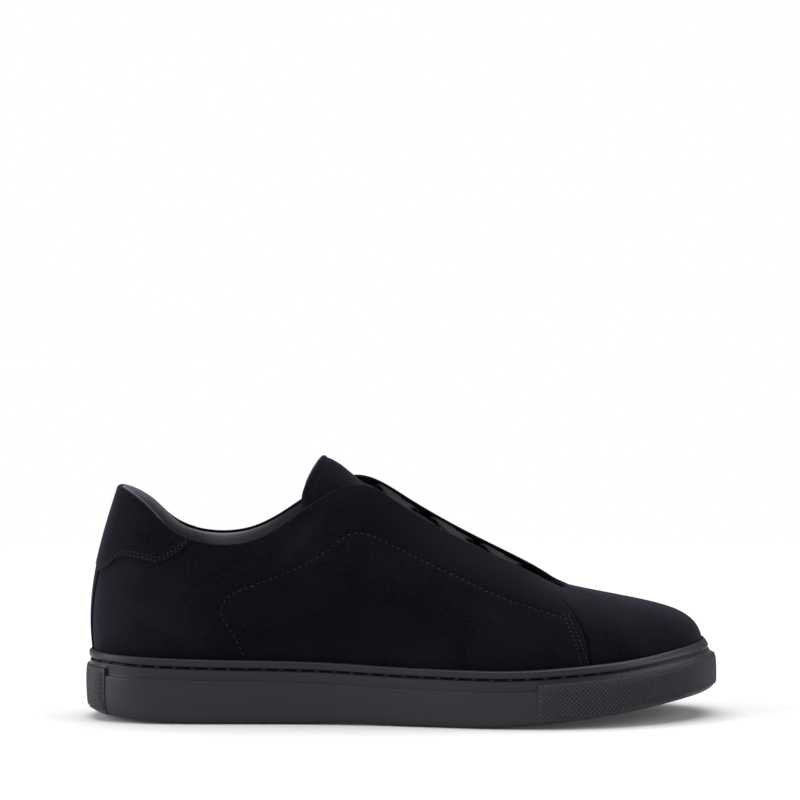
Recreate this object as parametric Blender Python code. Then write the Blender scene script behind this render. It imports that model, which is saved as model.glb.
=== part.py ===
"""Low suede slip-on sneaker, the right shoe, at its real size in metres.

X runs from the heel to the toe, Y towards the inner side of the foot and Z up from the floor.
The origin is on the floor, at the middle of the sole's length and width.
"""

from collections import namedtuple

import bmesh
import bpy
import numpy as np

# Sizes of the whole shoe.
LENGTH = 0.298
BALL_WIDTH = 0.108
COLLAR_HEIGHT = 0.110
SOLE_HEIGHT = 0.034
TOE_SPRING = 0.0125
HEEL_SPRING = 0.0042
ARCH_RISE = 0.0008
INNER_COLLAR_LIFT = 0.0026

# The cup sole: its floor, its wall and what is moulded into the wall.
FLOOR_THICKNESS = 0.011
RIM_WIDTH_HEEL = 0.0039
RIM_WIDTH_SIDE = 0.0058
RIM_WIDTH_TOE = 0.0068
BAND_SET_SIDE = 0.34
BAND_SET_ENDS = 0.55
TREAD_EDGE = 0.0042
EDGE_ROUND = 0.0024
WALL_LEAN = 0.0010
HEEL_LEAN = 0.0012
LEDGE_DROP = 0.0102
LEDGE_STEP = 0.0006
BUMPER_DROP = 0.0069
BUMPER_STEP = 0.0005
TOE_BUMPER_START = 0.2117
HEEL_BUMPER_END = 0.0096
STITCH_DROP = 0.0041
GROOVE_WIDTH = 0.0012
GROOVE_DEPTH = 0.0009
LIP_ROUND = 0.0011

# The upper, tongue and straps, and the gap between pieces that touch.
WALL = 0.0022
COLLAR_PADDING = 0.0024
QUARTER_STEP = 0.0010
TAB_THICKNESS = 0.0011
STRIP_THICKNESS = 0.0009
TONGUE_THICKNESS = 0.0034
STRAP_THICKNESS = 0.0012
INSOLE_THICKNESS = 0.0045
CLEARANCE = 0.0003

# Stations round the shoe from the heel's back, station 0, to the toe's tip. A row serves both sides.
# x, top_x are shares of LENGTH; outer, inner, top_y of BALL_WIDTH; rim of SOLE_HEIGHT; top_z of COLLAR_HEIGHT.
# The wall leaves the rim at the angle lean and meets the top line at the angle roll, in degrees from
# the horizontal; rise and reach are the two handles of that curve, as shares of its chord.
# fan turns the curve's end from the sole's own normal towards the throat, and lift says how much of
# INNER_COLLAR_LIFT the inner side has.
Station = namedtuple("Station", "x outer inner rim top_x top_y top_z lean rise roll reach fan lift")
STATIONS = (
    Station(0.000, 0.000, 0.000, 0.947, 0.055, 0.000, 0.990, 97, 0.35, 72, 0.37, 0.0, 0.0),
    Station(0.018, 0.176, 0.176, 0.947, 0.065, 0.098, 0.985, 98, 0.35, 74, 0.36, 0.0, 0.0),
    Station(0.081, 0.285, 0.285, 0.921, 0.104, 0.190, 0.912, 101, 0.35, 80, 0.33, 0.0, 0.2),
    Station(0.175, 0.314, 0.316, 0.893, 0.158, 0.240, 0.797, 104, 0.34, 86, 0.30, 0.0, 0.3),
    Station(0.275, 0.316, 0.306, 0.876, 0.257, 0.266, 0.774, 104, 0.34, 86, 0.30, 0.0, 0.7),
    Station(0.376, 0.328, 0.288, 0.856, 0.348, 0.248, 0.914, 102, 0.36, 72, 0.30, 0.0, 0.7),
    Station(0.477, 0.372, 0.300, 0.816, 0.431, 0.168, 1.012, 98, 0.40, 46, 0.30, 0.0, 0.6),
    Station(0.577, 0.438, 0.368, 0.797, 0.510, 0.148, 0.905, 95, 0.42, 38, 0.30, 0.0, 1.0),
    Station(0.675, 0.481, 0.456, 0.797, 0.604, 0.142, 0.761, 92, 0.42, 33, 0.32, 0.1, 0.95),
    Station(0.769, 0.464, 0.517, 0.841, 0.700, 0.136, 0.640, 88, 0.42, 26, 0.34, 0.3, 0.5),
    Station(0.859, 0.378, 0.496, 0.897, 0.743, 0.098, 0.572, 85, 0.385, 18, 0.42, 0.7, 0.4),
    Station(0.937, 0.222, 0.398, 0.974, 0.754, 0.063, 0.566, 82, 0.285, 14, 0.52, 1.0, 0.0),
    Station(0.985, 0.060, 0.275, 1.035, 0.758, 0.032, 0.564, 79, 0.24, 13, 0.57, 1.0, 0.0),
    Station(1.000, -0.108, 0.108, 1.058, 0.759, 0.000, 0.563, 78, 0.24, 13, 0.58, 1.0, 0.0),
)
TOE = len(STATIONS) - 1
ROUND = 2 * TOE

# Where the pieces of the upper begin and end, in station numbers, and how far down the wall.
SEAM = 9.30
SEAM_FADE = 1.1
TAB_END = 3.15
STRIP_END_TOP = 0.66
STRIP_END_LOW = 0.26

# Sections over the throat, for the tongue and the straps. The surface they follow carries on the
# upper's outer face from edge to edge. x is a share of LENGTH, crest of COLLAR_HEIGHT, half the
# tongue's half-width along the surface as a share of BALL_WIDTH; lean is how far a section tips
# back, in lengths a height; straps is 1 where the tongue leaves room for them under the eyestay.
Section = namedtuple("Section", "x crest lean half straps")
SECTIONS = (
    Section(0.379, 1.150, 0.55, 0.440, 0.00),
    Section(0.409, 1.110, 0.42, 0.400, 0.55),
    Section(0.446, 1.035, 0.20, 0.330, 1.00),
    Section(0.497, 0.949, 0.00, 0.290, 1.00),
    Section(0.560, 0.851, 0.00, 0.275, 1.00),
    Section(0.625, 0.757, 0.00, 0.265, 1.00),
    Section(0.685, 0.669, 0.00, 0.255, 1.00),
    Section(0.725, 0.608, 0.00, 0.240, 0.60),
    Section(0.750, 0.568, 0.00, 0.230, 0.20),
    Section(0.769, 0.560, 0.00, 0.220, 0.15),
    Section(0.799, 0.541, 0.00, 0.180, 0.00),
)

# How far the tongue's rear edge bows forwards of its section, by share of its half-width.
REAR_EDGE_SHARES = (0.0, 0.35, 0.55, 0.68, 0.78, 0.90, 1.0)
REAR_EDGE_BOW = (0.0, -0.0015, -0.0017, -0.0009, 0.0007, 0.0032, 0.0046)

# The crosses of elastic band: where each lies, and how far its bands run from side to side.
Cross = namedtuple("Cross", "name x")
CROSSES = (Cross("strap_cross_rear", 0.497), Cross("strap_cross_middle", 0.583), Cross("strap_cross_front", 0.662))
STRAP_WIDTH = 0.0095
STRAP_RUN = 0.0050
STRAP_SEAT = 1.26
STRAP_GAP = 0.00045

# All pieces of the shoe go into this collection.
MODEL = bpy.data.collections.new("Sneaker")
Outline = namedtuple("Outline", "place normal")


def clear_scene():
    for item in list(bpy.data.objects):
        bpy.data.objects.remove(item)
    bpy.context.scene.collection.children.link(MODEL)


def smooth(low, high, value):
    """0 below low, 1 above high and a smooth step between them."""
    share = np.clip((np.asarray(value, float) - low) / (high - low), 0, 1)
    return share * share * (3 - 2 * share)


def loop_curve(values):
    """A smooth closed curve through values, one for each station, as a function of station number."""
    values = np.asarray(values, float)
    count = len(values)
    ahead, behind = np.roll(values, -1, 0), np.roll(values, 1, 0)
    system = 4 * np.eye(count) + np.roll(np.eye(count), 1, 0) + np.roll(np.eye(count), -1, 0)
    bend = np.linalg.solve(system, 6 * (ahead - 2 * values + behind))

    def at(t):
        t = np.asarray(t, float) % count
        low = np.floor(t).astype(int) % count
        high = (low + 1) % count
        f = (t - np.floor(t))[..., None]
        g = 1 - f
        return g * values[low] + f * values[high] + ((g**3 - g) * bend[low] + (f**3 - f) * bend[high]) / 6

    return at


def station_table():
    """Both sides of the shoe as one closed table in metres: the outer side, then the inner one back."""
    rows = []
    for number in range(ROUND):
        inner_side = number > TOE
        s = STATIONS[ROUND - number if inner_side else number]
        side = 1 if inner_side else -1
        width = s.inner if inner_side else s.outer
        sole_y = side * width * BALL_WIDTH
        if number == TOE:
            sole_y = s.inner * BALL_WIDTH
        lift = s.lift * INNER_COLLAR_LIFT if inner_side else 0
        rows.append((
            s.x * LENGTH, sole_y, s.rim * SOLE_HEIGHT,
            s.top_x * LENGTH, side * s.top_y * BALL_WIDTH, s.top_z * COLLAR_HEIGHT + lift,
            s.lean, s.rise, s.roll, s.reach, s.fan,
        ))
    return rows


STATION_CURVE = loop_curve(station_table())


def bottom_height(x):
    """Height of the sole's underside: flat under heel and ball, a low arch and the toe spring."""
    share = np.asarray(x, float) / LENGTH
    arch = ARCH_RISE * np.sin(np.pi * np.clip((share - 0.336) / 0.171, 0, 1)) ** 2
    toe = TOE_SPRING * np.clip((share - 0.618) / 0.372, 0, None) ** 1.4
    heel = HEEL_SPRING * np.clip((0.17 - share) / 0.17, 0, None) ** 1.7
    return arch + toe + heel


def outline(t, inset=0.0):
    """Plan of the sole at stations t, moved inwards by inset, with the inward normal."""
    step = 0.02
    here = STATION_CURVE(t)[..., :2]
    along = STATION_CURVE(np.asarray(t) + step)[..., :2] - STATION_CURVE(np.asarray(t) - step)[..., :2]
    along /= np.linalg.norm(along, axis=-1, keepdims=True)
    normal = np.stack([-along[..., 1], along[..., 0]], -1)
    return Outline(here + normal * np.asarray(inset)[..., None], normal)


def rim_width(t):
    """Width of the cup's rim, from its outermost line to the upper."""
    share = STATION_CURVE(t)[..., 0] / LENGTH
    at_heel = (RIM_WIDTH_HEEL - RIM_WIDTH_SIDE) * (1 - smooth(0.0, 0.13, share))
    at_toe = (RIM_WIDTH_TOE - RIM_WIDTH_SIDE) * smooth(0.5, 1.0, share)
    return RIM_WIDTH_SIDE + at_heel + at_toe


def rim_height(t):
    return STATION_CURVE(t)[..., 2]


def floor_height(x):
    """Top of the cup's floor."""
    return bottom_height(x) + FLOOR_THICKNESS


def level(plan, height):
    """Points over a plan at a height."""
    return np.concatenate([plan, np.broadcast_to(height, plan.shape[:-1])[..., None]], -1)


def wall_point(t, v):
    """The upper's outer face at stations t: v 0 at the cup's rim and 1 at the collar or throat."""
    t, v = np.broadcast_arrays(np.asarray(t, float), np.asarray(v, float))
    data = STATION_CURVE(t)
    foot, normal = outline(t, rim_width(t))
    top = data[..., 3:6]
    start = level(foot, data[..., 2])
    chord = np.linalg.norm(top - start, axis=-1, keepdims=True)
    lean, roll = np.radians(data[..., 6:7]), np.radians(data[..., 8:9])
    straight = top[..., :2] - foot
    straight /= np.linalg.norm(straight, axis=-1, keepdims=True) + 1e-9
    fan = data[..., 10:11]
    inwards = normal * (1 - fan) + straight * fan
    inwards /= np.linalg.norm(inwards, axis=-1, keepdims=True)
    first = start + chord * data[..., 7:8] * np.concatenate([normal * np.cos(lean), np.sin(lean)], -1)
    last = top - chord * data[..., 9:10] * np.concatenate([inwards * np.cos(roll), np.sin(roll)], -1)
    f, g = v[..., None], 1 - v[..., None]
    return g**3 * start + 3 * g * g * f * first + 3 * g * f * f * last + f**3 * top


def grid_normals(points, closed):
    """Unit normals of a grid of points: rows run up the wall, columns round the shoe."""
    if closed:
        around = np.roll(points, -1, 1) - np.roll(points, 1, 1)
    else:
        around = np.gradient(points, axis=1)
    up = np.gradient(points, axis=0)
    normal = np.cross(around, up)
    return normal / np.linalg.norm(normal, axis=-1, keepdims=True)


def wall_offset(t, v, distance):
    """A point that lies distance outside the upper's outer face."""
    step_t, step_v = 0.01, 0.01
    v_low, v_high = np.maximum(np.asarray(v) - step_v, 0), np.minimum(np.asarray(v) + step_v, 1)
    around = wall_point(t + step_t, v) - wall_point(t - step_t, v)
    up = wall_point(t, v_high) - wall_point(t, v_low)
    normal = np.cross(around, up)
    normal /= np.linalg.norm(normal, axis=-1, keepdims=True)
    return wall_point(t, v) + normal * np.asarray(distance)[..., None]


SIDE_SPAN = np.linspace(0, ROUND, 1601)
SIDE_OUTLINE = outline(SIDE_SPAN).place
MIDDLE = (SIDE_OUTLINE.max(0) + SIDE_OUTLINE.min(0)) / 2


def material(name, colour, roughness):
    made = bpy.data.materials.new(name)
    made.use_nodes = True
    shader = made.node_tree.nodes["Principled BSDF"]
    shader.inputs["Base Color"].default_value = (*colour, 1)
    shader.inputs["Roughness"].default_value = roughness
    return made


def add_piece(name, builder, finish):
    """Turns a bmesh into one of the shoe's objects, moved so that the sole's middle is at the origin."""
    bmesh.ops.recalc_face_normals(builder, faces=builder.faces)
    bmesh.ops.triangulate(builder, faces=builder.faces)
    bmesh.ops.translate(builder, verts=builder.verts, vec=(-MIDDLE[0], -MIDDLE[1], 0))
    mesh = bpy.data.meshes.new(name)
    builder.to_mesh(mesh)
    builder.free()
    mesh.materials.append(finish)
    mesh.shade_smooth()
    mesh.set_sharp_from_angle(angle=0.7)
    piece = bpy.data.objects.new(name, mesh)
    MODEL.objects.link(piece)
    return piece


def add_rows(builder, points):
    return [[builder.verts.new(point) for point in row] for row in points]


def bridge(builder, rows, closed):
    """Faces between neighbouring rows of vertices."""
    for low, high in zip(rows, rows[1:]):
        count = len(low)
        for k in range(count if closed else count - 1):
            n = (k + 1) % count
            builder.faces.new((low[k], low[n], high[n], high[k]))


def shell(name, outer, inner, closed, finish):
    """A closed wall between two grids of the same size. A closed grid goes right round the shoe."""
    builder = bmesh.new()
    out_rows, in_rows = add_rows(builder, outer), add_rows(builder, inner)
    bridge(builder, out_rows, closed)
    bridge(builder, in_rows, closed)
    for row in (0, -1):
        bridge(builder, [out_rows[row], in_rows[row]], closed)
    if not closed:
        for column in (0, -1):
            edge = [[rows[column] for rows in out_rows], [rows[column] for rows in in_rows]]
            bridge(builder, edge, False)
    return add_piece(name, builder, finish)


def cap(builder, ring):
    """Closes a ring by strips between the outer side's points and the inner side's points across from them."""
    count = len(ring)
    half = count // 2
    for k in range(half):
        corners = [ring[k], ring[k + 1], ring[(count - k - 1) % count], ring[(count - k) % count]]
        unique = [corner for n, corner in enumerate(corners) if corner not in corners[:n]]
        if len(unique) > 2:
            builder.faces.new(unique)


def stacked_solid(name, rows, finish):
    """A solid from closed rings, the first and last of them capped."""
    builder = bmesh.new()
    rings = add_rows(builder, rows)
    bridge(builder, rings, True)
    cap(builder, rings[0])
    cap(builder, rings[-1])
    return add_piece(name, builder, finish)


def station_of(x_place):
    """The outer side's station number where the sole's outline passes x_place, a length from the heel."""
    half = SIDE_SPAN <= TOE
    return float(np.interp(x_place, SIDE_OUTLINE[half, 0], SIDE_SPAN[half]))


def both_sides(outer_stations):
    """Stations of the outer side with their mirror images, in order round the shoe."""
    inside = sorted(t for t in outer_stations if 0 < t < TOE)
    return np.array([0.0] + inside + [float(TOE)] + [ROUND - t for t in reversed(inside)])


def bumper_weight(t):
    """1 on the toe's and the heel's textured bumpers, 0 on the plain wall between them."""
    side = np.minimum(t, ROUND - t)
    near_toe = side > station_of(TOE_BUMPER_START)
    near_heel = side < station_of(HEEL_BUMPER_END)
    return (near_toe | near_heel).astype(float)


def build_cup_sole(rubber):
    edges = [station_of(TOE_BUMPER_START), station_of(HEEL_BUMPER_END)]
    sharp = [edge + side * 0.006 for edge in edges for side in (-1, 1)]
    even = [k * TOE / 46 for k in range(1, 46)]
    spaced = [t for t in even if min(abs(t - edge) for edge in edges) > 0.07]
    t = both_sides(spaced + sharp)
    bumper = bumper_weight(t)
    rim, width = rim_height(t), rim_width(t)
    x = STATION_CURVE(t)[..., 0]
    low = bottom_height(x)
    inset_wall = BUMPER_STEP * (1 - bumper)
    ledge = rim - (LEDGE_DROP + (BUMPER_DROP - LEDGE_DROP) * bumper)
    step = LEDGE_STEP + BUMPER_STEP * bumper
    groove = rim - STITCH_DROP
    at_heel = 1 - smooth(0.0, 0.1, x / LENGTH)
    lean = WALL_LEAN + HEEL_LEAN * at_heel
    ends = at_heel + smooth(0.78, 1.0, x / LENGTH)
    face = width * (BAND_SET_SIDE + (BAND_SET_ENDS - BAND_SET_SIDE) * ends)
    profile = (
        (inset_wall + TREAD_EDGE + lean * 0.5, low),
        (inset_wall + lean + TREAD_EDGE * 0.25, low + EDGE_ROUND * 0.5),
        (inset_wall + lean * 0.6, low + EDGE_ROUND * 1.5),
        (inset_wall, low + (ledge - low) * 0.62),
        (inset_wall + LEDGE_STEP * 0.4, ledge - LEDGE_STEP * 0.6),
        (inset_wall + step, ledge + LEDGE_STEP * 0.4),
        (face - GROOVE_DEPTH * 0.5, groove - GROOVE_WIDTH * 0.6),
        (face + GROOVE_DEPTH, groove - GROOVE_WIDTH * 0.25),
        (face + GROOVE_DEPTH, groove + GROOVE_WIDTH * 0.25),
        (face - GROOVE_DEPTH * 0.1, groove + GROOVE_WIDTH * 0.6),
        (face + GROOVE_DEPTH * 0.1, rim - LIP_ROUND * 1.3),
        (face + LIP_ROUND * 0.45, rim - LIP_ROUND * 0.35),
        (face + LIP_ROUND * 1.1, rim),
        (width - CLEARANCE, rim - LIP_ROUND * 0.2),
        (width - CLEARANCE, floor_height(x)),
    )
    rows = []
    for number, (inset, height) in enumerate(profile):
        plan = outline(t, inset).place
        if number < 3:
            height = height + bottom_height(plan[..., 0]) - low
        rows.append(level(plan, height))
    rows[-1] = level(rows[-1][..., :2], floor_height(rows[-1][..., 0]))
    return stacked_solid("cup_sole", rows, rubber)


def build_insole(fabric):
    t = both_sides([k * TOE / 26 for k in range(1, 26)])
    side = outline(t, rim_width(t) + WALL + CLEARANCE * 2).place
    base = floor_height(side[..., 0]) + CLEARANCE
    inner = outline(t, rim_width(t) + WALL + CLEARANCE * 2 + INSOLE_THICKNESS * 0.2).place
    top = floor_height(inner[..., 0]) + CLEARANCE + INSOLE_THICKNESS
    rows = [
        level(side, base),
        level(side, base + INSOLE_THICKNESS * 0.8),
        level(inner, top),
    ]
    return stacked_solid("insole", rows, fabric)


def upper_lines(t, v_rows):
    """The upper's rows without its steps: one inside the cup, then the visible wall up to the top line."""
    plan = outline(t, rim_width(t)).place
    base = level(plan, floor_height(plan[..., 0]) + CLEARANCE)
    return np.array([base] + [wall_point(t, v) for v in v_rows])


def collar_weight(t):
    """1 along the padded collar, fading out before the throat's straps."""
    side = np.minimum(t, ROUND - t)
    return 1 - smooth(3.4, 4.8, side)


def build_upper(suede):
    even = [k * TOE / 34 for k in range(1, 34)]
    spaced = [t for t in even if abs(t - SEAM) > 0.12]
    t = both_sides(spaced + [SEAM - 0.012, SEAM + 0.012])
    v_rows = np.array([0.0, 0.12, 0.26, 0.41, 0.56, 0.71, 0.86, 1.0])
    face = upper_lines(t, v_rows)
    normal = grid_normals(face, True)
    normal[0] = normal[1] * (1, 1, 0)
    normal[0] /= np.linalg.norm(normal[0], axis=-1, keepdims=True)
    side = np.minimum(t, ROUND - t)
    sunk = QUARTER_STEP * np.where(side > SEAM, 1 - smooth(SEAM, SEAM + SEAM_FADE, side), 0.0)
    above_rim = np.concatenate([[0.0, 0.0], np.ones(len(v_rows) - 1)])[:, None]
    outer = face - normal * (sunk * above_rim)[..., None]
    padding = COLLAR_PADDING * collar_weight(t) * np.concatenate([[0.0], smooth(0.45, 0.92, v_rows)])[:, None]
    thickness = WALL + padding
    inner = face - normal * thickness[..., None]
    inner[0, :, 2] = face[0, :, 2]
    return shell("upper", outer, inner, True, suede)


def tab_edge(t):
    """How far up the wall the heel tab's lower edge lies, t stations from the heel's back."""
    return np.interp(np.abs(t), TAB_EDGE_STATIONS, TAB_EDGE_HEIGHTS)


# The heel tab's lower edge: a dip at the back, a crest, a second dip, then up to the collar.
TAB_EDGE_STATIONS = (0.0, 0.35, 0.69, 1.01, 1.26, 1.50, 1.88, 2.21, 2.40, 2.77, 3.02, 3.15)
TAB_EDGE_HEIGHTS = (0.535, 0.522, 0.502, 0.530, 0.593, 0.632, 0.649, 0.669, 0.691, 0.800, 0.921, 0.980)


def build_heel_tab(suede):
    t = np.linspace(-TAB_END, TAB_END, 33)
    low = tab_edge(t)
    share = np.array([0.0, 0.34, 0.68, 1.0])[:, None]
    v = low + (1 - low) * share
    near, far = CLEARANCE, CLEARANCE + TAB_THICKNESS
    inner = wall_offset(np.broadcast_to(t, v.shape), v, near)
    outer = wall_offset(np.broadcast_to(t, v.shape), v, far)
    return shell("heel_tab", outer, inner, False, suede)


def build_back_strip(suede):
    rise = np.linspace(0, 1, 7)[:, None]
    columns = np.linspace(-1, 1, 9)[None, :]
    low, high = 0.008, tab_edge(STRIP_END_TOP * columns) - 0.007
    v = low + (high - low) * rise
    t = (STRIP_END_LOW + (STRIP_END_TOP - STRIP_END_LOW) * rise) * columns
    inner = wall_offset(t, v, CLEARANCE)
    outer = wall_offset(t, v, CLEARANCE + STRIP_THICKNESS)
    return shell("back_strip", outer, inner, False, suede)


def through(values, x):
    """A smooth curve through a column of SECTIONS at the length x."""
    places = np.array([section.x for section in SECTIONS]) * LENGTH
    values = np.array(values, float)
    slopes = np.gradient(values, places)
    k = int(np.clip(np.searchsorted(places, x) - 1, 0, len(places) - 2))
    span = places[k + 1] - places[k]
    f = float(np.clip((x - places[k]) / span, 0, 1))
    curve = (2 * f**3 - 3 * f**2 + 1) * values[k] + (3 * f**2 - 2 * f**3) * values[k + 1]
    return curve + span * ((f**3 - 2 * f**2 + f) * slopes[k] + (f**3 - f**2) * slopes[k + 1])


THROAT_STATIONS = np.linspace(3.6, TOE, 141)
THROAT_SHARES = np.linspace(1.0, 0.2, 61)
THROAT_FACES = {
    -1: wall_point(THROAT_STATIONS[:, None], THROAT_SHARES),
    1: wall_point(ROUND - THROAT_STATIONS[:, None], THROAT_SHARES),
}


def wall_cut(side, reach, lean):
    """Where a leaning section cuts one side of the upper, from its top line or the middle downwards."""
    face = THROAT_FACES[side]
    value = face[..., 0] - lean * face[..., 2]
    top = value[:, 0]
    last = int(np.searchsorted(top, reach)) - 1
    points = []
    if last + 1 < len(top):
        f = (reach - top[last]) / (top[last + 1] - top[last])
        points.append(face[last, 0] * (1 - f) + face[last + 1, 0] * f)
    for k in range(last, -1, -1):
        row = value[k]
        if row[-1] < reach:
            break
        j = int(np.searchsorted(row, reach))
        f = (reach - row[j - 1]) / (row[j] - row[j - 1]) if j else 0.0
        points.append(face[k, max(j - 1, 0)] * (1 - f) + face[k, j] * f)
    return np.array(points), last + 1 < len(top)


def throat_row(x, shares, in_gaps=False):
    """Points over the throat at the length x, from the outer wing to the inner one.

    shares are parts of the tongue's half-width, or of the open gap's half-width if in_gaps.
    """
    crest = through([section.crest for section in SECTIONS], x) * COLLAR_HEIGHT
    lean = through([section.lean for section in SECTIONS], x)
    half = through([section.half for section in SECTIONS], x) * BALL_WIDTH
    cuts = {side: wall_cut(side, x - lean * crest, lean) for side in (-1, 1)}
    middle = None
    if cuts[-1][1]:
        edges = [cuts[side][0][0] for side in (-1, 1)]
        middle = (edges[0] + edges[1]) / 2
        middle[2] = crest
        middle[0] = x
    row = []
    for side in (-1, 1):
        wing = cuts[side][0]
        path = wing
        gap = 0.0
        if middle is not None:
            edge = wing[0]
            away = wing[0] - wing[2]
            away /= np.linalg.norm(away)
            handle = np.linalg.norm(middle - edge) * 0.36
            first = middle + np.array([0.0, side * handle, 0.0])
            second = edge + away * handle * 0.55
            f = np.linspace(0, 1, 15)[:, None]
            g = 1 - f
            bow = g**3 * middle + 3 * g * g * f * first + 3 * g * f * f * second + f**3 * edge
            path = np.concatenate([bow[:-1], wing])
            gap = np.linalg.norm(np.diff(bow, axis=0), axis=1).sum()
        lengths = np.concatenate([[0.0], np.cumsum(np.linalg.norm(np.diff(path, axis=0), axis=1))])
        unit = gap if in_gaps else half
        wanted = [abs(share) * unit for share in shares if share * side > 0]
        row += [[np.interp(place, lengths, path[:, axis]) for axis in range(3)] for place in wanted]
        if side < 0 and 0 in shares:
            row.append((path[0] if middle is None else middle).tolist())
    return np.array(row)


def build_tongue(suede):
    places = np.array([section.x for section in SECTIONS]) * LENGTH
    stops = np.linspace(0, len(places) - 1, 2 * len(places) - 1)
    rows_x = np.interp(stops, np.arange(len(places)), places)
    shares = (-1.0, -0.85, -0.68, -0.5, -0.34, -0.17, 0, 0.17, 0.34, 0.5, 0.68, 0.85, 1.0)
    near_rear = 1 - smooth(places[0], places[2], rows_x)
    bow = np.interp(np.abs(shares), REAR_EDGE_SHARES, REAR_EDGE_BOW)
    base = np.array([
        [throat_row(x + weight * shift, (share,))[0] for share, shift in zip(shares, bow)]
        for x, weight in zip(rows_x, near_rear)
    ])
    normal = -grid_normals(base, False)
    straps = np.array([through([section.straps for section in SECTIONS], x) for x in rows_x])
    depth = WALL + CLEARANCE + (STRAP_THICKNESS + 2 * STRAP_GAP - CLEARANCE) * np.clip(straps, 0, 1)
    outer = base - normal * depth[:, None, None]
    inner = outer - normal * TONGUE_THICKNESS
    return shell("tongue", outer, inner, False, suede)


def strap_band(name, x, direction, lift, finish):
    """One elastic band from edge to edge, direction 1 or -1, its middle raised by lift."""
    stops = np.linspace(-STRAP_SEAT, STRAP_SEAT, 15)
    shares = np.array([-0.5, 0.0, 0.5])
    grid = []
    for stop in stops:
        for share in shares:
            here = x + direction * STRAP_RUN * stop + share * STRAP_WIDTH
            grid.append(throat_row(here, (stop,), True)[0] if stop else throat_row(here, (0,), True)[0])
    grid = np.array(grid).reshape(len(stops), len(shares), 3)
    normal = grid_normals(grid, False)
    if normal[len(stops) // 2, 1, 2] < 0:
        normal = -normal
    raised = lift * (1 - smooth(0.5, 0.95, np.abs(stops)))
    top = grid + normal * (raised - WALL - STRAP_GAP)[:, None, None]
    return shell(name, top, top - normal * STRAP_THICKNESS, False, finish)


def build_cross(cross, elastic):
    """Two bands joined where they cross: the one to the inner side's rear lies on top."""
    under = strap_band(cross.name, cross.x * LENGTH, 1, 0.0, elastic)
    over = strap_band("band", cross.x * LENGTH, -1, STRAP_THICKNESS * 0.92, elastic)
    joint = under.modifiers.new("Join", "BOOLEAN")
    joint.operation = "UNION"
    joint.solver = "EXACT"
    joint.object = over
    graph = bpy.context.evaluated_depsgraph_get()
    mesh = bpy.data.meshes.new_from_object(under.evaluated_get(graph))
    under.modifiers.clear()
    under.data = mesh
    bpy.data.objects.remove(over)
    return under


def main():
    clear_scene()
    rubber = material("Sole rubber", (0.035, 0.033, 0.039), 0.55)
    suede = material("Suede", (0.010, 0.009, 0.012), 0.95)
    lining = material("Footbed", (0.020, 0.019, 0.022), 0.6)
    elastic = material("Elastic", (0.020, 0.018, 0.021), 0.8)
    build_cup_sole(rubber)
    build_insole(lining)
    build_upper(suede)
    build_heel_tab(suede)
    build_back_strip(suede)
    build_tongue(suede)
    for cross in CROSSES:
        build_cross(cross, elastic)


main()
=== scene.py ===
"""Black suede slip-on sneaker with crossed elastic straps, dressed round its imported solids."""
import math

import bmesh
import bpy
import numpy as np
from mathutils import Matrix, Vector


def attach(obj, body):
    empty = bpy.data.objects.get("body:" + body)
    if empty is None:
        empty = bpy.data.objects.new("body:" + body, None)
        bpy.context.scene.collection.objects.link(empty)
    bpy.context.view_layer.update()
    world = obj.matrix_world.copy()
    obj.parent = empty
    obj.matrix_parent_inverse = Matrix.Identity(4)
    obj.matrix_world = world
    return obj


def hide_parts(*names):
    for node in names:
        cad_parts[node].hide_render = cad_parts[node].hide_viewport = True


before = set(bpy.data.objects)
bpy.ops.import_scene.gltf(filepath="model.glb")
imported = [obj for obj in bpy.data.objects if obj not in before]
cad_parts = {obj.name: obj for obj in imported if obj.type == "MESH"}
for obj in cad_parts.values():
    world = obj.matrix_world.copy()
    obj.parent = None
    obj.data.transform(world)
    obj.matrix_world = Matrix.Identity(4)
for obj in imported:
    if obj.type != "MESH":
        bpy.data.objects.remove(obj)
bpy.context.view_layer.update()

# Studio: a white floor under a wide soft light from above, as in a shop's packshot.
# The camera faces the shoe's outer side and looks down on it by 6 degrees.
VIEW_TILT = math.radians(6.1)
VIEW_DISTANCE = 2.2
PIXELS_PER_METRE = 2117.0
PHOTO_SIZE = 800
SHOE_PIXEL_Y = 584.2
SENSOR_WIDTH = 36
AIM = Vector((-0.0009, 0, 0.062))

scene = bpy.context.scene
scene.view_settings.view_transform = "Standard"
focal_pixels = PIXELS_PER_METRE * VIEW_DISTANCE
rise = math.atan((SHOE_PIXEL_Y - PHOTO_SIZE / 2) / focal_pixels)
camera_data = bpy.data.cameras.new("camera")
camera_data.sensor_width = SENSOR_WIDTH
camera_data.lens = SENSOR_WIDTH * focal_pixels / PHOTO_SIZE
camera_data.clip_end = 100
camera = bpy.data.objects.new("camera", camera_data)
camera.location = AIM + Vector((0, -math.cos(VIEW_TILT), math.sin(VIEW_TILT))) * VIEW_DISTANCE
camera.rotation_euler = (math.pi / 2 - VIEW_TILT + rise, 0, 0)
scene.collection.objects.link(camera)
scene.camera = camera

SKY_LIGHT = 0.22
SKY_SEEN = 1.0
sky = bpy.data.worlds.new("sky")
sky.use_nodes = True
scene.world = sky
wires = sky.node_tree
backdrop = wires.nodes["Background"]
path = wires.nodes.new("ShaderNodeLightPath")
strength = wires.nodes.new("ShaderNodeMapRange")
strength.inputs["To Min"].default_value = SKY_LIGHT
strength.inputs["To Max"].default_value = SKY_SEEN
wires.links.new(path.outputs["Is Camera Ray"], strength.inputs["Value"])
wires.links.new(strength.outputs["Result"], backdrop.inputs["Strength"])
backdrop.inputs["Color"].default_value = (1, 1, 1, 1)


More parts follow.
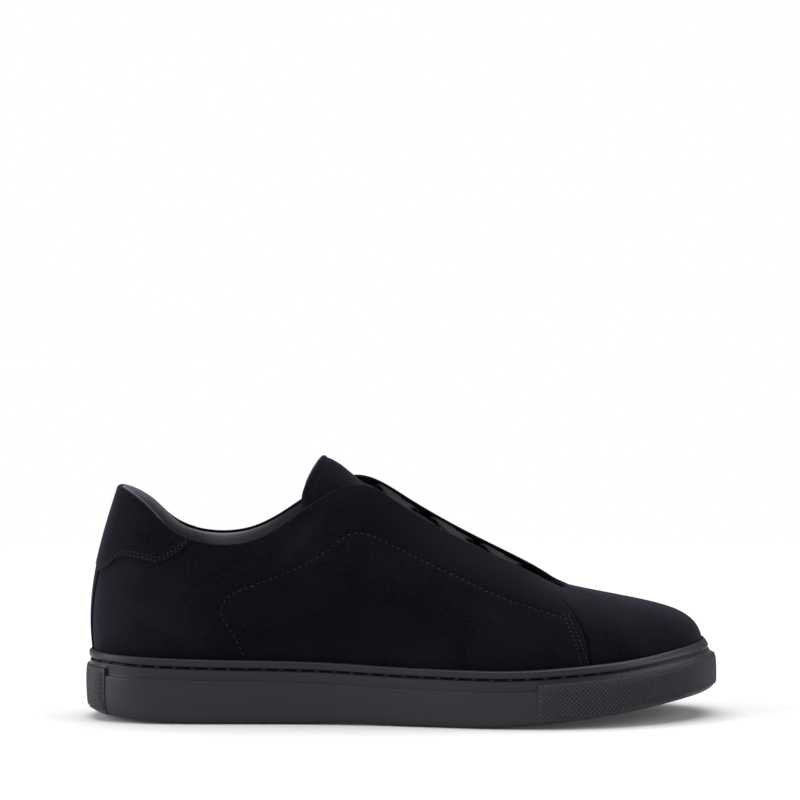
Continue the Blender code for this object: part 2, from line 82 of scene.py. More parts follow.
def add_sun(name, direction, power, spread):
    """A wide soft light that shines along direction."""
    data = bpy.data.lights.new(name, "SUN")
    data.energy = power
    data.angle = math.radians(spread)
    lamp = bpy.data.objects.new(name, data)
    lamp.rotation_mode = "QUATERNION"
    lamp.rotation_quaternion = Vector(direction).to_track_quat("-Z", "Y")
    scene.collection.objects.link(lamp)


add_sun("overhead", (0.03, -0.20, -1.0), 2.9, 66)
add_sun("heel_side_light", (1.0, 0.24, -0.35), 2.5, 50)
add_sun("toe_side", (-1.0, 0.20, -0.40), 1.3, 50)

# Cup sole: one piece of dark grey rubber, moulded as a shallow cup that the upper sits in.
# Its wall has a rounded lip, a sunk stitching groove, an upper band, a ledge and two
# raised bumpers with a knurled face, one round the toe and one round the heel.
LENGTH = 0.298
BALL_WIDTH = 0.108
COLLAR_HEIGHT = 0.110
SOLE_HEIGHT = 0.034
TOE_SPRING, TOE_SPRING_START, TOE_SPRING_RUN = 0.0125, 0.618, 0.372
HEEL_SPRING, HEEL_SPRING_END = 0.0042, 0.17
ARCH_RISE, ARCH_START, ARCH_RUN = 0.0008, 0.336, 0.171
INNER_COLLAR_LIFT = 0.0026
FLOOR_THICKNESS = 0.011
RIM_WIDTH_HEEL, RIM_WIDTH_SIDE, RIM_WIDTH_TOE = 0.0039, 0.0058, 0.0068
BAND_SET_SIDE, BAND_SET_ENDS = 0.34, 0.55
HEEL_ZONE, TOE_ZONE = (0.0, 0.1), (0.78, 1.0)
HEEL_LEAN, SHOULDER = 0.0014, 0.0008
CORNER, TOE_CORNER = 0.0007, 0.0026
TREAD_EDGE, TREAD_RISE, TREAD_PITCH = 0.0042, 0.0034, 0.006
LEDGE_DROP, LEDGE_STEP = 0.0102, 0.0006
BUMPER_DROP, BUMPER_STEP = 0.0069, 0.0005
TOE_BUMPER_START = 0.2117
HEEL_BUMPER_END = 0.0096
STITCH_DROP = 0.0041
GROOVE_WIDTH, GROOVE_DEPTH = 0.0012, 0.0012
LIP_ROUND = 0.0012
HAIR = 0.0002

# Stations round the shoe from the heel's back to the toe's tip, for both sides: place along the
# sole, half-widths outside and inside, rim height, then the collar or throat above it, the wall's
# two angles with their handles, how far it fans to the throat, and the inner collar's lift.
STATIONS = np.array((
    (0.000, 0.000, 0.000, 0.947, 0.055, 0.000, 0.990, 97, 0.35, 72, 0.37, 0.0, 0.0),
    (0.018, 0.176, 0.176, 0.947, 0.065, 0.098, 0.985, 98, 0.35, 74, 0.36, 0.0, 0.0),
    (0.081, 0.285, 0.285, 0.921, 0.104, 0.190, 0.912, 101, 0.35, 80, 0.33, 0.0, 0.2),
    (0.175, 0.314, 0.316, 0.893, 0.158, 0.240, 0.797, 104, 0.34, 86, 0.30, 0.0, 0.3),
    (0.275, 0.316, 0.306, 0.876, 0.257, 0.266, 0.774, 104, 0.34, 86, 0.30, 0.0, 0.7),
    (0.376, 0.328, 0.288, 0.856, 0.348, 0.248, 0.914, 102, 0.36, 72, 0.30, 0.0, 0.7),
    (0.477, 0.372, 0.300, 0.816, 0.431, 0.168, 1.012, 98, 0.40, 46, 0.30, 0.0, 0.6),
    (0.577, 0.438, 0.368, 0.797, 0.510, 0.148, 0.905, 95, 0.42, 38, 0.30, 0.0, 1.0),
    (0.675, 0.481, 0.456, 0.797, 0.604, 0.142, 0.761, 92, 0.42, 33, 0.32, 0.1, 0.95),
    (0.769, 0.464, 0.517, 0.841, 0.700, 0.136, 0.640, 88, 0.42, 26, 0.34, 0.3, 0.5),
    (0.859, 0.378, 0.496, 0.897, 0.743, 0.098, 0.572, 85, 0.385, 18, 0.42, 0.7, 0.4),
    (0.937, 0.222, 0.398, 0.974, 0.754, 0.063, 0.566, 82, 0.285, 14, 0.52, 1.0, 0.0),
    (0.985, 0.060, 0.275, 1.035, 0.758, 0.032, 0.564, 79, 0.24, 13, 0.57, 1.0, 0.0),
    (1.000, -0.108, 0.108, 1.058, 0.759, 0.000, 0.563, 78, 0.24, 13, 0.58, 1.0, 0.0),
))
TOE = len(STATIONS) - 1
ROUND = 2 * TOE


def station_rows():
    """Both sides' stations in metres as one closed table: the outer side, then the inner one back."""
    rows = []
    for number in range(ROUND):
        inner = number > TOE
        x, out_y, in_y, rim, top_x, top_y, top_z, *shape, lift = STATIONS[ROUND - number if inner else number]
        side = 1 if inner else -1
        sole_y = in_y if inner or number == TOE else -out_y
        top = top_z * COLLAR_HEIGHT + (lift * INNER_COLLAR_LIFT if inner else 0)
        rows.append((x * LENGTH, sole_y * BALL_WIDTH, rim * SOLE_HEIGHT,
                     top_x * LENGTH, side * top_y * BALL_WIDTH, top, *shape))
    return np.array(rows)


STATION_VALUES = station_rows()
ring = np.eye(ROUND)
STATION_BENDS = np.linalg.solve(
    4 * ring + np.roll(ring, 1, 0) + np.roll(ring, -1, 0),
    6 * (np.roll(STATION_VALUES, -1, 0) - 2 * STATION_VALUES + np.roll(STATION_VALUES, 1, 0)))


def station(t):
    """The table's values at station t, on smooth curves through its rows."""
    t = np.asarray(t, float) % ROUND
    low = np.floor(t).astype(int) % ROUND
    high = (low + 1) % ROUND
    f = (t - np.floor(t))[..., None]
    g = 1 - f
    return (g * STATION_VALUES[low] + f * STATION_VALUES[high]
            + ((g**3 - g) * STATION_BENDS[low] + (f**3 - f) * STATION_BENDS[high]) / 6)


def ease(low, high, value):
    """0 below low, 1 above high and a smooth step between them."""
    share = np.clip((np.asarray(value, float) - low) / (high - low), 0, 1)
    return share * share * (3 - 2 * share)


def unit(vectors):
    return vectors / (np.linalg.norm(vectors, axis=-1, keepdims=True) + 1e-12)


def sole_plan(t, inset=0.0):
    """The sole's outline seen from above, moved inwards by inset, and its inward normal."""
    along = unit(station(np.asarray(t) + 0.02)[..., :2] - station(np.asarray(t) - 0.02)[..., :2])
    inward = np.stack([-along[..., 1], along[..., 0]], -1)
    return station(t)[..., :2] + inward * np.asarray(inset)[..., None], inward


def underside(x):
    """Height of the tread at the length x: it springs up at toe and heel and arches between them."""
    share = np.asarray(x, float) / LENGTH
    arch = ARCH_RISE * np.sin(np.pi * np.clip((share - ARCH_START) / ARCH_RUN, 0, 1)) ** 2
    toe = TOE_SPRING * np.clip((share - TOE_SPRING_START) / TOE_SPRING_RUN, 0, None) ** 1.4
    heel = HEEL_SPRING * np.clip((HEEL_SPRING_END - share) / HEEL_SPRING_END, 0, None) ** 1.7
    return arch + toe + heel


def rim_width(t):
    share = station(t)[..., 0] / LENGTH
    at_heel = (RIM_WIDTH_HEEL - RIM_WIDTH_SIDE) * (1 - ease(0.0, 0.13, share))
    return RIM_WIDTH_SIDE + at_heel + (RIM_WIDTH_TOE - RIM_WIDTH_SIDE) * ease(0.5, 1.0, share)


def at_height(plan, height):
    return np.concatenate([plan, np.broadcast_to(height, plan.shape[:-1])[..., None]], -1)


def cup_floor(x):
    return underside(x) + FLOOR_THICKNESS


whole_plan = sole_plan(np.linspace(0, ROUND, 1601))[0]
MIDDLE = np.append((whole_plan.max(0) + whole_plan.min(0)) / 2, 0)


def add_mesh(name, points, faces, material, smooth_angle=0.6):
    """A piece from points in the shoe's own measure, whose heel's back is at x 0."""
    mesh = bpy.data.meshes.new(name)
    mesh.from_pydata((np.asarray(points) - MIDDLE).tolist(), [], faces)
    builder = bmesh.new()
    builder.from_mesh(mesh)
    bmesh.ops.recalc_face_normals(builder, faces=builder.faces)
    builder.to_mesh(mesh)
    builder.free()
    mesh.shade_smooth()
    mesh.set_sharp_from_angle(angle=smooth_angle)
    mesh.materials.append(material)
    return add_object(name, mesh)


def add_object(name, mesh):
    made = bpy.data.objects.new(name, mesh)
    scene.collection.objects.link(made)
    return made


def stands_for(piece, node):
    """Fixes a piece to the shoe in the place of its solid, which it hides."""
    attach(piece, "root")
    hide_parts(node)


def quad_strip(rows, columns, closed, first=0):
    """Faces of a grid of points, its columns joined round the shoe if closed."""
    index = first + np.arange(rows * columns).reshape(rows, columns)
    if closed:
        index = np.concatenate([index, index[:, :1]], 1)
    corners = (index[:-1, :-1], index[:-1, 1:], index[1:, 1:], index[1:, :-1])
    return np.stack(corners, -1).reshape(-1, 4).tolist()


def flat_end(first, count):
    """Faces across a closed row of points, from one side of the shoe to the other."""
    faces = []
    for k in range(count // 2):
        across = first + np.array([k, k + 1, (count - k - 1) % count, (count - k) % count])
        faces.append(list(dict.fromkeys(across.tolist())))
    return faces


def add_skin(name, outer, inner, closed, material, **options):
    """A closed wall between two grids of points, rows up the wall and columns round the shoe."""
    rows, columns = outer.shape[:2]
    count = rows * columns
    faces = quad_strip(rows, columns, closed) + quad_strip(rows, columns, closed, count)
    index = np.arange(count).reshape(rows, columns)
    borders = [index[0], index[-1]]
    if closed:
        borders = [np.append(border, border[0]) for border in borders]
    else:
        borders += [index[:, 0], index[:, -1]]
    for border in borders:
        faces += [[a, b, b + count, a + count] for a, b in zip(border[:-1].tolist(), border[1:].tolist())]
    points = np.concatenate([outer.reshape(-1, 3), inner.reshape(-1, 3)])
    return add_mesh(name, points, faces, material, **options)


def feed(sockets, values):
    """Gives sockets what they need: a wire is linked, a number or a colour is set."""
    for key, value in values.items():
        if isinstance(value, Wire):
            value.tree.links.new(value.socket, sockets[key])
        else:
            sockets[key].default_value = value


class Wire:
    """A socket in a material's tree; Python's operators on it add Math nodes."""

    def __init__(self, tree, socket):
        self.tree, self.socket = tree, socket

    def node(self, kind, settings=None, inputs=None, output=0):
        """Adds a node, sets it, feeds its sockets and gives one output."""
        made = self.tree.nodes.new(kind)
        for key, value in (settings or {}).items():
            setattr(made, key, value)
        feed(made.inputs, inputs or {})
        return Wire(self.tree, made.outputs[output])

    def math(self, operation, first, second=0.0):
        return self.node("ShaderNodeMath", {"operation": operation}, {0: first, 1: second})

    def __add__(self, other):
        return self.math("ADD", self, other)

    def __mul__(self, other):
        return self.math("MULTIPLY", self, other)

    __radd__ = __add__
    __rmul__ = __mul__

    def axis(self, letter):
        return self.node("ShaderNodeSeparateXYZ", {}, {"Vector": self}, letter)

    def step(self, low, high):
        """0 where this wire is low, 1 where it is high and a smooth step between them."""
        ends = {"Value": self, "From Min": low, "From Max": high}
        return self.node("ShaderNodeMapRange", {"interpolation_type": "SMOOTHSTEP"}, ends)

    def mix(self, low, high):
        """A colour between two, each a wire or three numbers, by this wire."""
        low, high = (end if isinstance(end, Wire) else (*end, 1.0) for end in (low, high))
        return self.node("ShaderNodeMix", {"data_type": "RGBA"}, {0: self, 6: low, 7: high}, 2)

    def noise(self, scale, detail=2.0, roughness=0.5):
        """Noise on this wire's coordinates, its blobs about 1/scale metres wide."""
        sizes = {"Vector": self, "Scale": scale, "Detail": detail, "Roughness": roughness}
        return self.node("ShaderNodeTexNoise", {}, sizes)

    def bump(self, strength, distance, **settings):
        """The normal of a surface that this wire raises."""
        sizes = {"Strength": strength, "Distance": distance, "Height": self}
        return self.node("ShaderNodeBump", settings, sizes)

    def marked(self, label):
        """The number that mark gave each point of a piece under this label."""
        return self.node("ShaderNodeAttribute", {"attribute_name": label}, output="Fac")


def mark(piece, label, values):
    made = piece.data.attributes.new(label, "FLOAT", "POINT")
    made.data.foreach_set("value", np.asarray(values, float).ravel())


def finish(name):
    """A new material, the sockets of its surface and a wire with its Object coordinates."""
    made = bpy.data.materials.new(name)
    made.use_nodes = True
    surface = made.node_tree.nodes["Principled BSDF"].inputs
    return made, surface, Wire(made.node_tree, None).node("ShaderNodeTexCoord", output="Object")


RUBBER_DARK, RUBBER_LIGHT = (0.0180, 0.0156, 0.0232), (0.0215, 0.0189, 0.0274)
# The next colour is painted shade: the sunk stitching groove is painted near black for the shade in it and for
# the dark thread that fills it.
RUBBER_GROOVE_SHADE = (0.0024, 0.0021, 0.0030)
CHEVRON_SLANT, CHEVRON_HEIGHT = 0.6, 12.0

rubber, surface, place = finish("sole_rubber")
grain, cloud = place.noise(2600, 3, 0.6), place.noise(45, 3, 0.55)
slanted = place.axis("X") + CHEVRON_SLANT * place.math("ABSOLUTE", place.axis("Y"))
chevrons = place.math("SINE", slanted * (2 * math.pi / TREAD_PITCH))
feed(surface, {
    "Base Color": place.marked("groove").mix(cloud.mix(RUBBER_DARK, RUBBER_LIGHT), RUBBER_GROOVE_SHADE),
    "Roughness": 0.34 + 0.12 * cloud,
    "Normal": (grain + place.marked("tread") * chevrons * CHEVRON_HEIGHT).bump(0.25, 0.00012),
    "Specular IOR Level": 0.28})


def quarter_arc(start, end, steps, flip=False):
    """Points (inset, height) of a rounded corner from start to end, which flip bulges the other way."""
    angle = np.linspace(0, math.pi / 2, steps)[:, None]
    swing, climb = (1 - np.cos(angle), np.sin(angle)) if flip else (np.sin(angle), 1 - np.cos(angle))
    start, end = np.stack(np.broadcast_arrays(*start)), np.stack(np.broadcast_arrays(*end))
    steps_in = start[0] + (end[0] - start[0]) * swing
    steps_up = start[1] + (end[1] - start[1]) * climb
    return list(zip(steps_in, steps_up))


def station_of(x_place):
    """The outer side's station number where the sole is x_place long from the heel."""
    side = np.linspace(0, TOE, 2001)
    return float(np.interp(x_place, sole_plan(side)[0][:, 0], side))


def evenly(count):
    """Stations of the outer side that divide it in count parts."""
    return [k * TOE / count for k in range(1, count)]


def both_sides(outer):
    """Stations of the outer side and their mirror images, in order round the shoe."""
    inside = sorted(t for t in outer if 0 < t < TOE)
    return np.array([0.0] + inside + [float(TOE)] + [ROUND - t for t in reversed(inside)])


BUMPER_EDGES = (station_of(HEEL_BUMPER_END), station_of(TOE_BUMPER_START))


def on_bumper(t):
    side = np.minimum(t, ROUND - t)
    return ((side < BUMPER_EDGES[0]) | (side > BUMPER_EDGES[1])).astype(float)


def wall_lines(t):
    """Heights and insets of the sole wall's lines at stations t."""
    x = station(t)[..., 0]
    bumper, rim, width = on_bumper(t), station(t)[..., 2], rim_width(t)
    at_heel, at_toe = 1 - ease(*HEEL_ZONE, x / LENGTH), ease(*TOE_ZONE, x / LENGTH)
    band = BAND_SET_SIDE + (BAND_SET_ENDS - BAND_SET_SIDE) * (at_heel + at_toe)
    return {
        "low": underside(x), "rim": rim, "width": width, "wall": BUMPER_STEP * (1 - bumper),
        "ledge": rim - (LEDGE_DROP + (BUMPER_DROP - LEDGE_DROP) * bumper),
        "step": LEDGE_STEP + BUMPER_STEP * bumper, "groove": rim - STITCH_DROP, "face": width * band,
        "lean": HEEL_LEAN * at_heel, "toe": at_toe, "ends": at_heel + at_toe,
        "shoulder": SHOULDER * (at_heel + at_toe),
        "corner": CORNER + 0.0003 * at_heel + (TOE_CORNER - CORNER) * at_toe}


# Two columns stand close together at each bumper's end, so that its step is sharp.
CUT, CUT_CLEAR = 0.003, 0.01
cuts = [edge + side * CUT for edge in BUMPER_EDGES for side in (-1, 1)]
spaced = [t for t in evenly(300) if min(abs(t - edge) for edge in BUMPER_EDGES) > CUT_CLEAR]
sole_t = both_sides(spaced + cuts)
line = wall_lines(sole_t)
low, rim, width, wall, ledge, step, groove, face, lean, at_toe, ends, shoulder, corner = line.values()

# The wall's profile as insets and heights, from the underside's middle up and over the lip to the cup's floor.
TREAD_ROWS = 7
UNDER_INSET, FLOOR_INSET = 0.016, 0.010
sunk_in = GROOVE_DEPTH * (1 - 0.6 * at_toe)
corner_end = wall + shoulder + corner * (1 - 0.4 * ends)
shelf = np.maximum(wall + shoulder + step * (1 - 0.55 * ends), corner_end + HAIR)
band_in, band_low, band_top = shelf + 2 * HAIR, ledge + 3 * HAIR, groove - GROOVE_WIDTH * 0.62
profile = [(np.full_like(low, UNDER_INSET), low), (wall + lean + TREAD_EDGE, low)]
profile += quarter_arc((wall + lean + TREAD_EDGE * 0.85, low),
                       (wall + lean * 0.7 + 2 * HAIR, low + TREAD_RISE), TREAD_ROWS)
profile += [(wall + lean * 0.7 * (1 - share) ** 2 + shoulder * share**5 + HAIR, low + (ledge - low) * share)
            for share in (0.3, 0.45, 0.6, 0.7, 0.8)]
profile += quarter_arc((wall + shoulder * 0.8, ledge - corner), (corner_end, ledge), 7, True)
profile += quarter_arc((shelf, ledge), (band_in, band_low), 4)
profile += [(band_in + (face - band_in) * share ** (1 + 0.7 * at_toe), band_low + (band_top - band_low) * share)
            for share in (0.3, 0.55, 0.8)]
profile += quarter_arc((face - 0.5 * HAIR, band_top - HAIR),
                       (face + 1.5 * HAIR, groove - GROOVE_WIDTH * 0.42), 4, True)
profile += quarter_arc((face + sunk_in * 0.8, groove - GROOVE_WIDTH * 0.36), (face + sunk_in, groove), 3, True)
profile += [(face + sunk_in * 0.8, groove + GROOVE_WIDTH * 0.36),
            (face + 1.5 * HAIR, groove + GROOVE_WIDTH * 0.42)]
lip_bottom = groove + GROOVE_WIDTH * 0.5
lip_start = (face - 3 * HAIR * (1 - at_toe), rim - LIP_ROUND * (1 + 1.8 * at_toe))
lip_end = (face + LIP_ROUND * 0.9 + (width - face - 4 * HAIR - LIP_ROUND * 0.9) * at_toe, rim)
profile += quarter_arc((face - HAIR * (1 - at_toe), lip_bottom + HAIR),
                       (lip_start[0], lip_bottom + 0.0009 * (1 - 0.6 * at_toe)), 4, True)
for share, on_arc in zip(np.linspace(0, 1, 7), quarter_arc(lip_start, lip_end, 7, True)):
    profile.append([arc + (first + (last - first) * share - arc) * 0.65 * at_toe
                    for arc, first, last in zip(on_arc, lip_start, lip_end)])
profile += quarter_arc((width - 5 * HAIR, rim - 0.5 * HAIR), (width - 1.5 * HAIR, rim - 4 * HAIR), 4)
inner_floor = cup_floor(station(sole_t)[..., 0])
profile += [(width - 1.5 * HAIR, inner_floor), (width + FLOOR_INSET, inner_floor)]

rows = []
for number, (inset, height) in enumerate(profile):
    plan = sole_plan(sole_t, inset)[0]
    if number < 2 + TREAD_ROWS:
        height = height + underside(plan[..., 0]) - low
    rows.append(at_height(plan, height))
for row in rows[-2:]:
    row[..., 2] = cup_floor(row[..., 0])
count = len(sole_t)
faces = quad_strip(len(rows), count, True) + flat_end(0, count) + flat_end((len(rows) - 1) * count, count)
sole = add_mesh("sole_cup", np.reshape(rows, (-1, 3)), faces, rubber, 0.75)
# The groove mark picks the points that are painted near black as shade.
mark(sole, "groove", [np.abs(height - groove) < GROOVE_WIDTH * 0.47 for inset, height in profile])
mark(sole, "tread", [np.full_like(low, number < 2) for number in range(len(profile))])
stands_for(sole, "cup_sole")

# Upper: black suede quarters and vamp, pulled over a last and glued into the cup.
# The quarters lie a step above the vamp. Their seam edges are pressed round, their top edges
# are turned inwards over the wall, and soft creases run down their sides.
SUEDE_STEP = 0.0010
SEAM, INNER_SEAM = 9.30, 9.85
EDGE_RADIUS = 0.0007
WALL = 0.0022
TURN_DOWN, TURN_BLEND, TOP_ROUND = 0.0013, 0.0003, 0.0009
TAB_ZONE = (2.3, 3.0)
CUP_GAP = 0.0003


def bezier(start, first, last, end, f):
    """The curve from start to end whose handles end at first and last, at shares f of it."""
    g = 1 - f
    return g**3 * start + 3 * g * g * f * first + 3 * g * f * f * last + f**3 * end


def wall_point(t, v):
    """The suede's outer face at stations t: v is 0 at the cup's rim and 1 at the collar or throat."""
    t, v = np.broadcast_arrays(np.asarray(t, float), np.asarray(v, float))
    data = station(t)
    foot, normal = sole_plan(t, rim_width(t))
    top, start = data[..., 3:6], at_height(foot, data[..., 2])
    chord = np.linalg.norm(top - start, axis=-1, keepdims=True)
    lean, roll, fan = np.radians(data[..., 6:7]), np.radians(data[..., 8:9]), data[..., 10:11]
    inwards = unit(normal * (1 - fan) + unit(top[..., :2] - foot) * fan)
    first = start + chord * data[..., 7:8] * np.concatenate([normal * np.cos(lean), np.sin(lean)], -1)
    last = top - chord * data[..., 9:10] * np.concatenate([inwards * np.cos(roll), np.sin(roll)], -1)
    return bezier(start, first, last, top, v[..., None])


def wall_normal(t, v):
    t, v = np.broadcast_arrays(np.asarray(t, float), np.asarray(v, float))
    around = wall_point(t + 0.01, v) - wall_point(t - 0.01, v)
    up = wall_point(t, np.minimum(v + 0.01, 1)) - wall_point(t, np.maximum(v - 0.01, 0))
    return unit(np.cross(around, up))


def on_wall(t, v, lift):
    """A point that lies lift outside the suede's face."""
    return wall_point(t, v) + wall_normal(t, v) * np.asarray(lift)[..., None]


def wall_length(t):
    """Length of the wall from rim to top line at stations t."""
    line = wall_point(np.asarray(t)[None, :], np.linspace(0, 1, 30)[:, None])
    return np.linalg.norm(np.diff(line, axis=0), axis=-1).sum(0)


def turned(distance, radius=EDGE_RADIUS):
    """How full a panel is near its edge: 0 on the edge, 1 from radius inwards, on a round."""
    return np.sqrt(1 - (1 - np.clip(distance / radius, 0, 1)) ** 2)


NEAR_EDGE = (0.0, 0.00008, 0.0003, 0.0007)
BELOW_EDGE = (*NEAR_EDGE, TURN_DOWN, TURN_DOWN + TURN_BLEND)
EDGE_ROWS = 0.0022


def past_tab(t):
    """0 round the heel tab and 1 in front of it, where the suede's top edge is turned inwards."""
    return ease(*TAB_ZONE, np.minimum(np.abs(t), ROUND - np.abs(t)))


def inner_depth(t, v, length, layer):
    """How deep a panel's inner face lies: layer, or the whole wall where it is turned over its top."""
    down = (1 - v) * length
    over = (1 - ease(TURN_DOWN, TURN_DOWN + TURN_BLEND, down)) * past_tab(t)
    rounded = TOP_ROUND * (1 - turned(down, TOP_ROUND))
    return layer + (WALL - 0.00005 - rounded - layer) * over


def rows_to_edge(t, count):
    """Heights v from the rim to the top line, closer together at the top edge."""
    length = wall_length(t)
    steps = np.linspace(0, 1, count)[:, None] * (1 - EDGE_ROWS / length)
    return np.concatenate([steps, 1 - np.array(BELOW_EDGE[::-1])[:, None] / length]), length


def cup_feet(t, outset, inset, lift=CUP_GAP):
    """The lowest rows of a wall's two faces, which stand in the cup, lift above its floor."""
    outer = at_height(sole_plan(t, rim_width(t) + outset)[0], 0.0)
    outer[..., 2] = cup_floor(outer[..., 0]) + lift
    inner = at_height(sole_plan(t, rim_width(t) + inset)[0], outer[..., 2])
    return outer[None], inner[None]


SUEDE_DARK, SUEDE_LIGHT = (0.0010, 0.0008, 0.0018), (0.0048, 0.0040, 0.0071)
# The heel colour is painted light, for the lower back of the heel where the side light falls.
SUEDE_SPECK, SUEDE_HEEL_PAINTED_LIGHT = (0.0084, 0.0071, 0.0115), (0.0125, 0.0105, 0.0170)
# The deep colour is painted shade: the near black that shaded parts of the suede are darkened to.
SUEDE_PAINTED_SHADE = (0.0005, 0.0004, 0.0008)

suede, surface, place = finish("black_suede")
nap, fleck = place.noise(1900, 3, 0.65), place.noise(1000, 2, 0.6)
stretched = place.node("ShaderNodeMapping", {}, {"Vector": place, "Scale": (0.8, 1.0, 1.1)})
brushed = stretched.noise(40, 3, 0.5).step(0.33, 0.70)
speck = (fleck + nap).step(0.82, 1.25)
along, up = place.axis("X"), place.axis("Z")
# Painted light: the suede low on the heel's sides is made lighter, where the light from the heel's side falls.
heel_side_light = along.step(-0.085, -0.125) * up.step(0.085, 0.060)
# Painted shade: the suede high on the eyestays, beside the straps, is darkened.
eyestay_shade = (up + 0.55 * along).step(0.070, 0.092) * along.step(0.078, 0.050) * along.step(-0.040, -0.005)
# Painted shade: a band along the middle of the sides is darkened, as a shaded hollow.
side_hollow_shade = up.step(0.026, 0.046) * up.step(0.080, 0.058) * along.step(-0.095, -0.055) * along.step(0.035, 0.0)
# The painted shade of the eyestays, the sides' hollow and the inner quarter's turned edge, added up.
painted_shade = eyestay_shade * 0.80 + side_hollow_shade * 0.40 + place.marked("shaded_turned_edge") * 0.3
tone = (speck * 0.75).mix(brushed.mix(SUEDE_DARK, SUEDE_LIGHT), SUEDE_SPECK)
tone = (heel_side_light * (0.35 + 0.3 * brushed)).mix(tone, SUEDE_HEEL_PAINTED_LIGHT)
feed(surface, {
    "Base Color": place.node("ShaderNodeClamp", {}, {"Value": painted_shade}).mix(tone, SUEDE_PAINTED_SHADE),
    "Roughness": 0.86 + 0.1 * nap,
    "Normal": (nap * 0.6 + fleck).bump(0.55, 0.00025),
    "Sheen Weight": 0.10,
    "Sheen Roughness": 0.45,
    "Sheen Tint": (0.56, 0.48, 0.70, 1),
    "Specular IOR Level": 0.06})

# The outer side's sewn lines, measured on the shoe as station and height.
QUARTER_LINE = (
    (3.800, 0.000), (3.672, 0.178), (3.539, 0.316), (3.502, 0.403), (3.593, 0.504), (3.752, 0.565),
    (4.168, 0.624), (4.763, 0.630), (5.186, 0.637), (5.644, 0.673), (5.876, 0.680), (6.093, 0.663),
    (6.470, 0.631), (6.848, 0.610), (7.231, 0.589), (7.530, 0.571), (7.789, 0.541), (8.062, 0.498),
    (8.426, 0.459), (8.717, 0.433), (8.900, 0.409), (9.000, 0.400))
SEAM_ROWS = (
    ((9.092, 0.430), (9.071, 0.355), (9.077, 0.273), (9.093, 0.179), (9.112, 0.112), (9.150, 0.020)),
    ((9.180, 0.425), (9.166, 0.338), (9.179, 0.248), (9.203, 0.160), (9.228, 0.083), (9.285, 0.020)))


def smooth_path(points, steps=12):
    """A rounded path through measured points."""
    points = np.array(points)
    padded = np.concatenate([2 * points[:1] - points[1:2], points, 2 * points[-1:] - points[-2:-1]])
    f = np.linspace(0, 1, steps, endpoint=False)[:, None]
    made = []
    for a, b, c, d in zip(padded, padded[1:], padded[2:], padded[3:]):
        made.append(b + 0.5 * f * (c - a) + f**2 * (a - 2.5 * b + 2 * c - 0.5 * d)
                    + f**3 * (1.5 * (b - c) + 0.5 * (d - a)))
    return np.concatenate(made + [points[-1:]])


def both(path_tv):
    """A sewn line on the outer side and its likeness on the inner one, whose seam lies further forward."""
    forward = (INNER_SEAM - SEAM) * ease(6.0, 9.0, path_tv[:, 0])
    return [path_tv, np.stack([-path_tv[:, 0] - forward, path_tv[:, 1]], -1)]


def dented(points, normals, line, depth, reach):
    """Presses a soft channel into points along a line, a batch of points at a time."""
    batch, flat = 20000, points.reshape(-1, 3)
    gaps = [np.sqrt(((flat[first:first + batch, None] - line[None]) ** 2).sum(-1)).min(1)
            for first in range(0, len(flat), batch)]
    near = np.concatenate(gaps).reshape(points.shape[:-1])
    return points - normals * (depth * np.exp(-((near / reach) ** 2)))[..., None]


# Soft creases, each a line of stations and heights, its depth (below 0 it stands out) and its reach.
CREASES = (
    (((5.05, 0.90), (4.75, 0.82), (4.35, 0.77)), 0.0006, 0.0036),
    (((5.50, 0.88), (5.15, 0.80), (4.75, 0.72)), -0.0006, 0.0038),
    (((6.30, 0.50), (5.90, 0.42), (5.60, 0.28)), 0.0009, 0.0075),
    (((6.95, 0.44), (6.60, 0.34), (6.40, 0.18)), -0.0005, 0.0060),
    (((7.55, 0.40), (7.35, 0.28), (7.25, 0.14)), 0.0006, 0.0055),
    (((8.05, 0.34), (7.85, 0.22), (7.80, 0.10)), -0.0004, 0.0050),
    (((1.30, 0.42), (1.75, 0.34), (2.30, 0.20)), 0.0006, 0.0060),
    (((2.35, 0.46), (2.85, 0.36), (3.10, 0.20)), 0.0005, 0.0055),
    (((-5.20, 0.80), (-4.80, 0.72), (-4.40, 0.70)), 0.0006, 0.0045),
    (((-6.30, 0.50), (-5.90, 0.40), (-5.60, 0.25)), 0.0008, 0.0070),
    (((-8.30, 0.50), (-8.10, 0.35), (-8.05, 0.20)), 0.0006, 0.0055))


def creased(points, normals):
    """Points of the quarters moved in or out with their creases."""
    for path_tv, depth, reach in CREASES:
        path_tv = smooth_path(path_tv, 6)
        points = dented(points, normals, wall_point(*path_tv.T), depth, reach)
    return points


def add_panel(name, outer, inner, feet):
    """A suede panel of the upper, its two faces with their feet in the cup."""
    panel = add_skin(name, np.concatenate([feet[0], outer]), np.concatenate([feet[1], inner]), False, suede)
    stands_for(panel, "upper")
    return panel


CHANNEL_REACH = 0.0013
SEAM_STEPS = np.array((0.0, 0.004, 0.012, 0.026))
quarter_t = np.concatenate([SEAM_STEPS - INNER_SEAM, np.linspace(0.05 - INNER_SEAM, SEAM - 0.05, 520),
                            SEAM - SEAM_STEPS[::-1]])
v, length = rows_to_edge(quarter_t, 84)
flat_face = wall_point(quarter_t, v)
normal = wall_normal(quarter_t, v)
seam_gap = np.minimum(np.linalg.norm(flat_face - flat_face[:, :1], axis=-1),
                      np.linalg.norm(flat_face - flat_face[:, -1:], axis=-1))
fullness = turned(seam_gap) * turned((1 - v) * length)
outer = flat_face - normal * (SUEDE_STEP * (1 - fullness))[..., None]
for sewn, depth in ((QUARTER_LINE, 0.0003), (SEAM_ROWS[0], 0.0002), (SEAM_ROWS[1], 0.0002)):
    for path_tv in both(smooth_path(sewn, 4)):
        outer = dented(outer, normal, wall_point(*path_tv.T), depth, CHANNEL_REACH)
outer = creased(outer, normal)
inner = flat_face - normal * inner_depth(quarter_t, v, length, SUEDE_STEP * 1.02)[..., None]
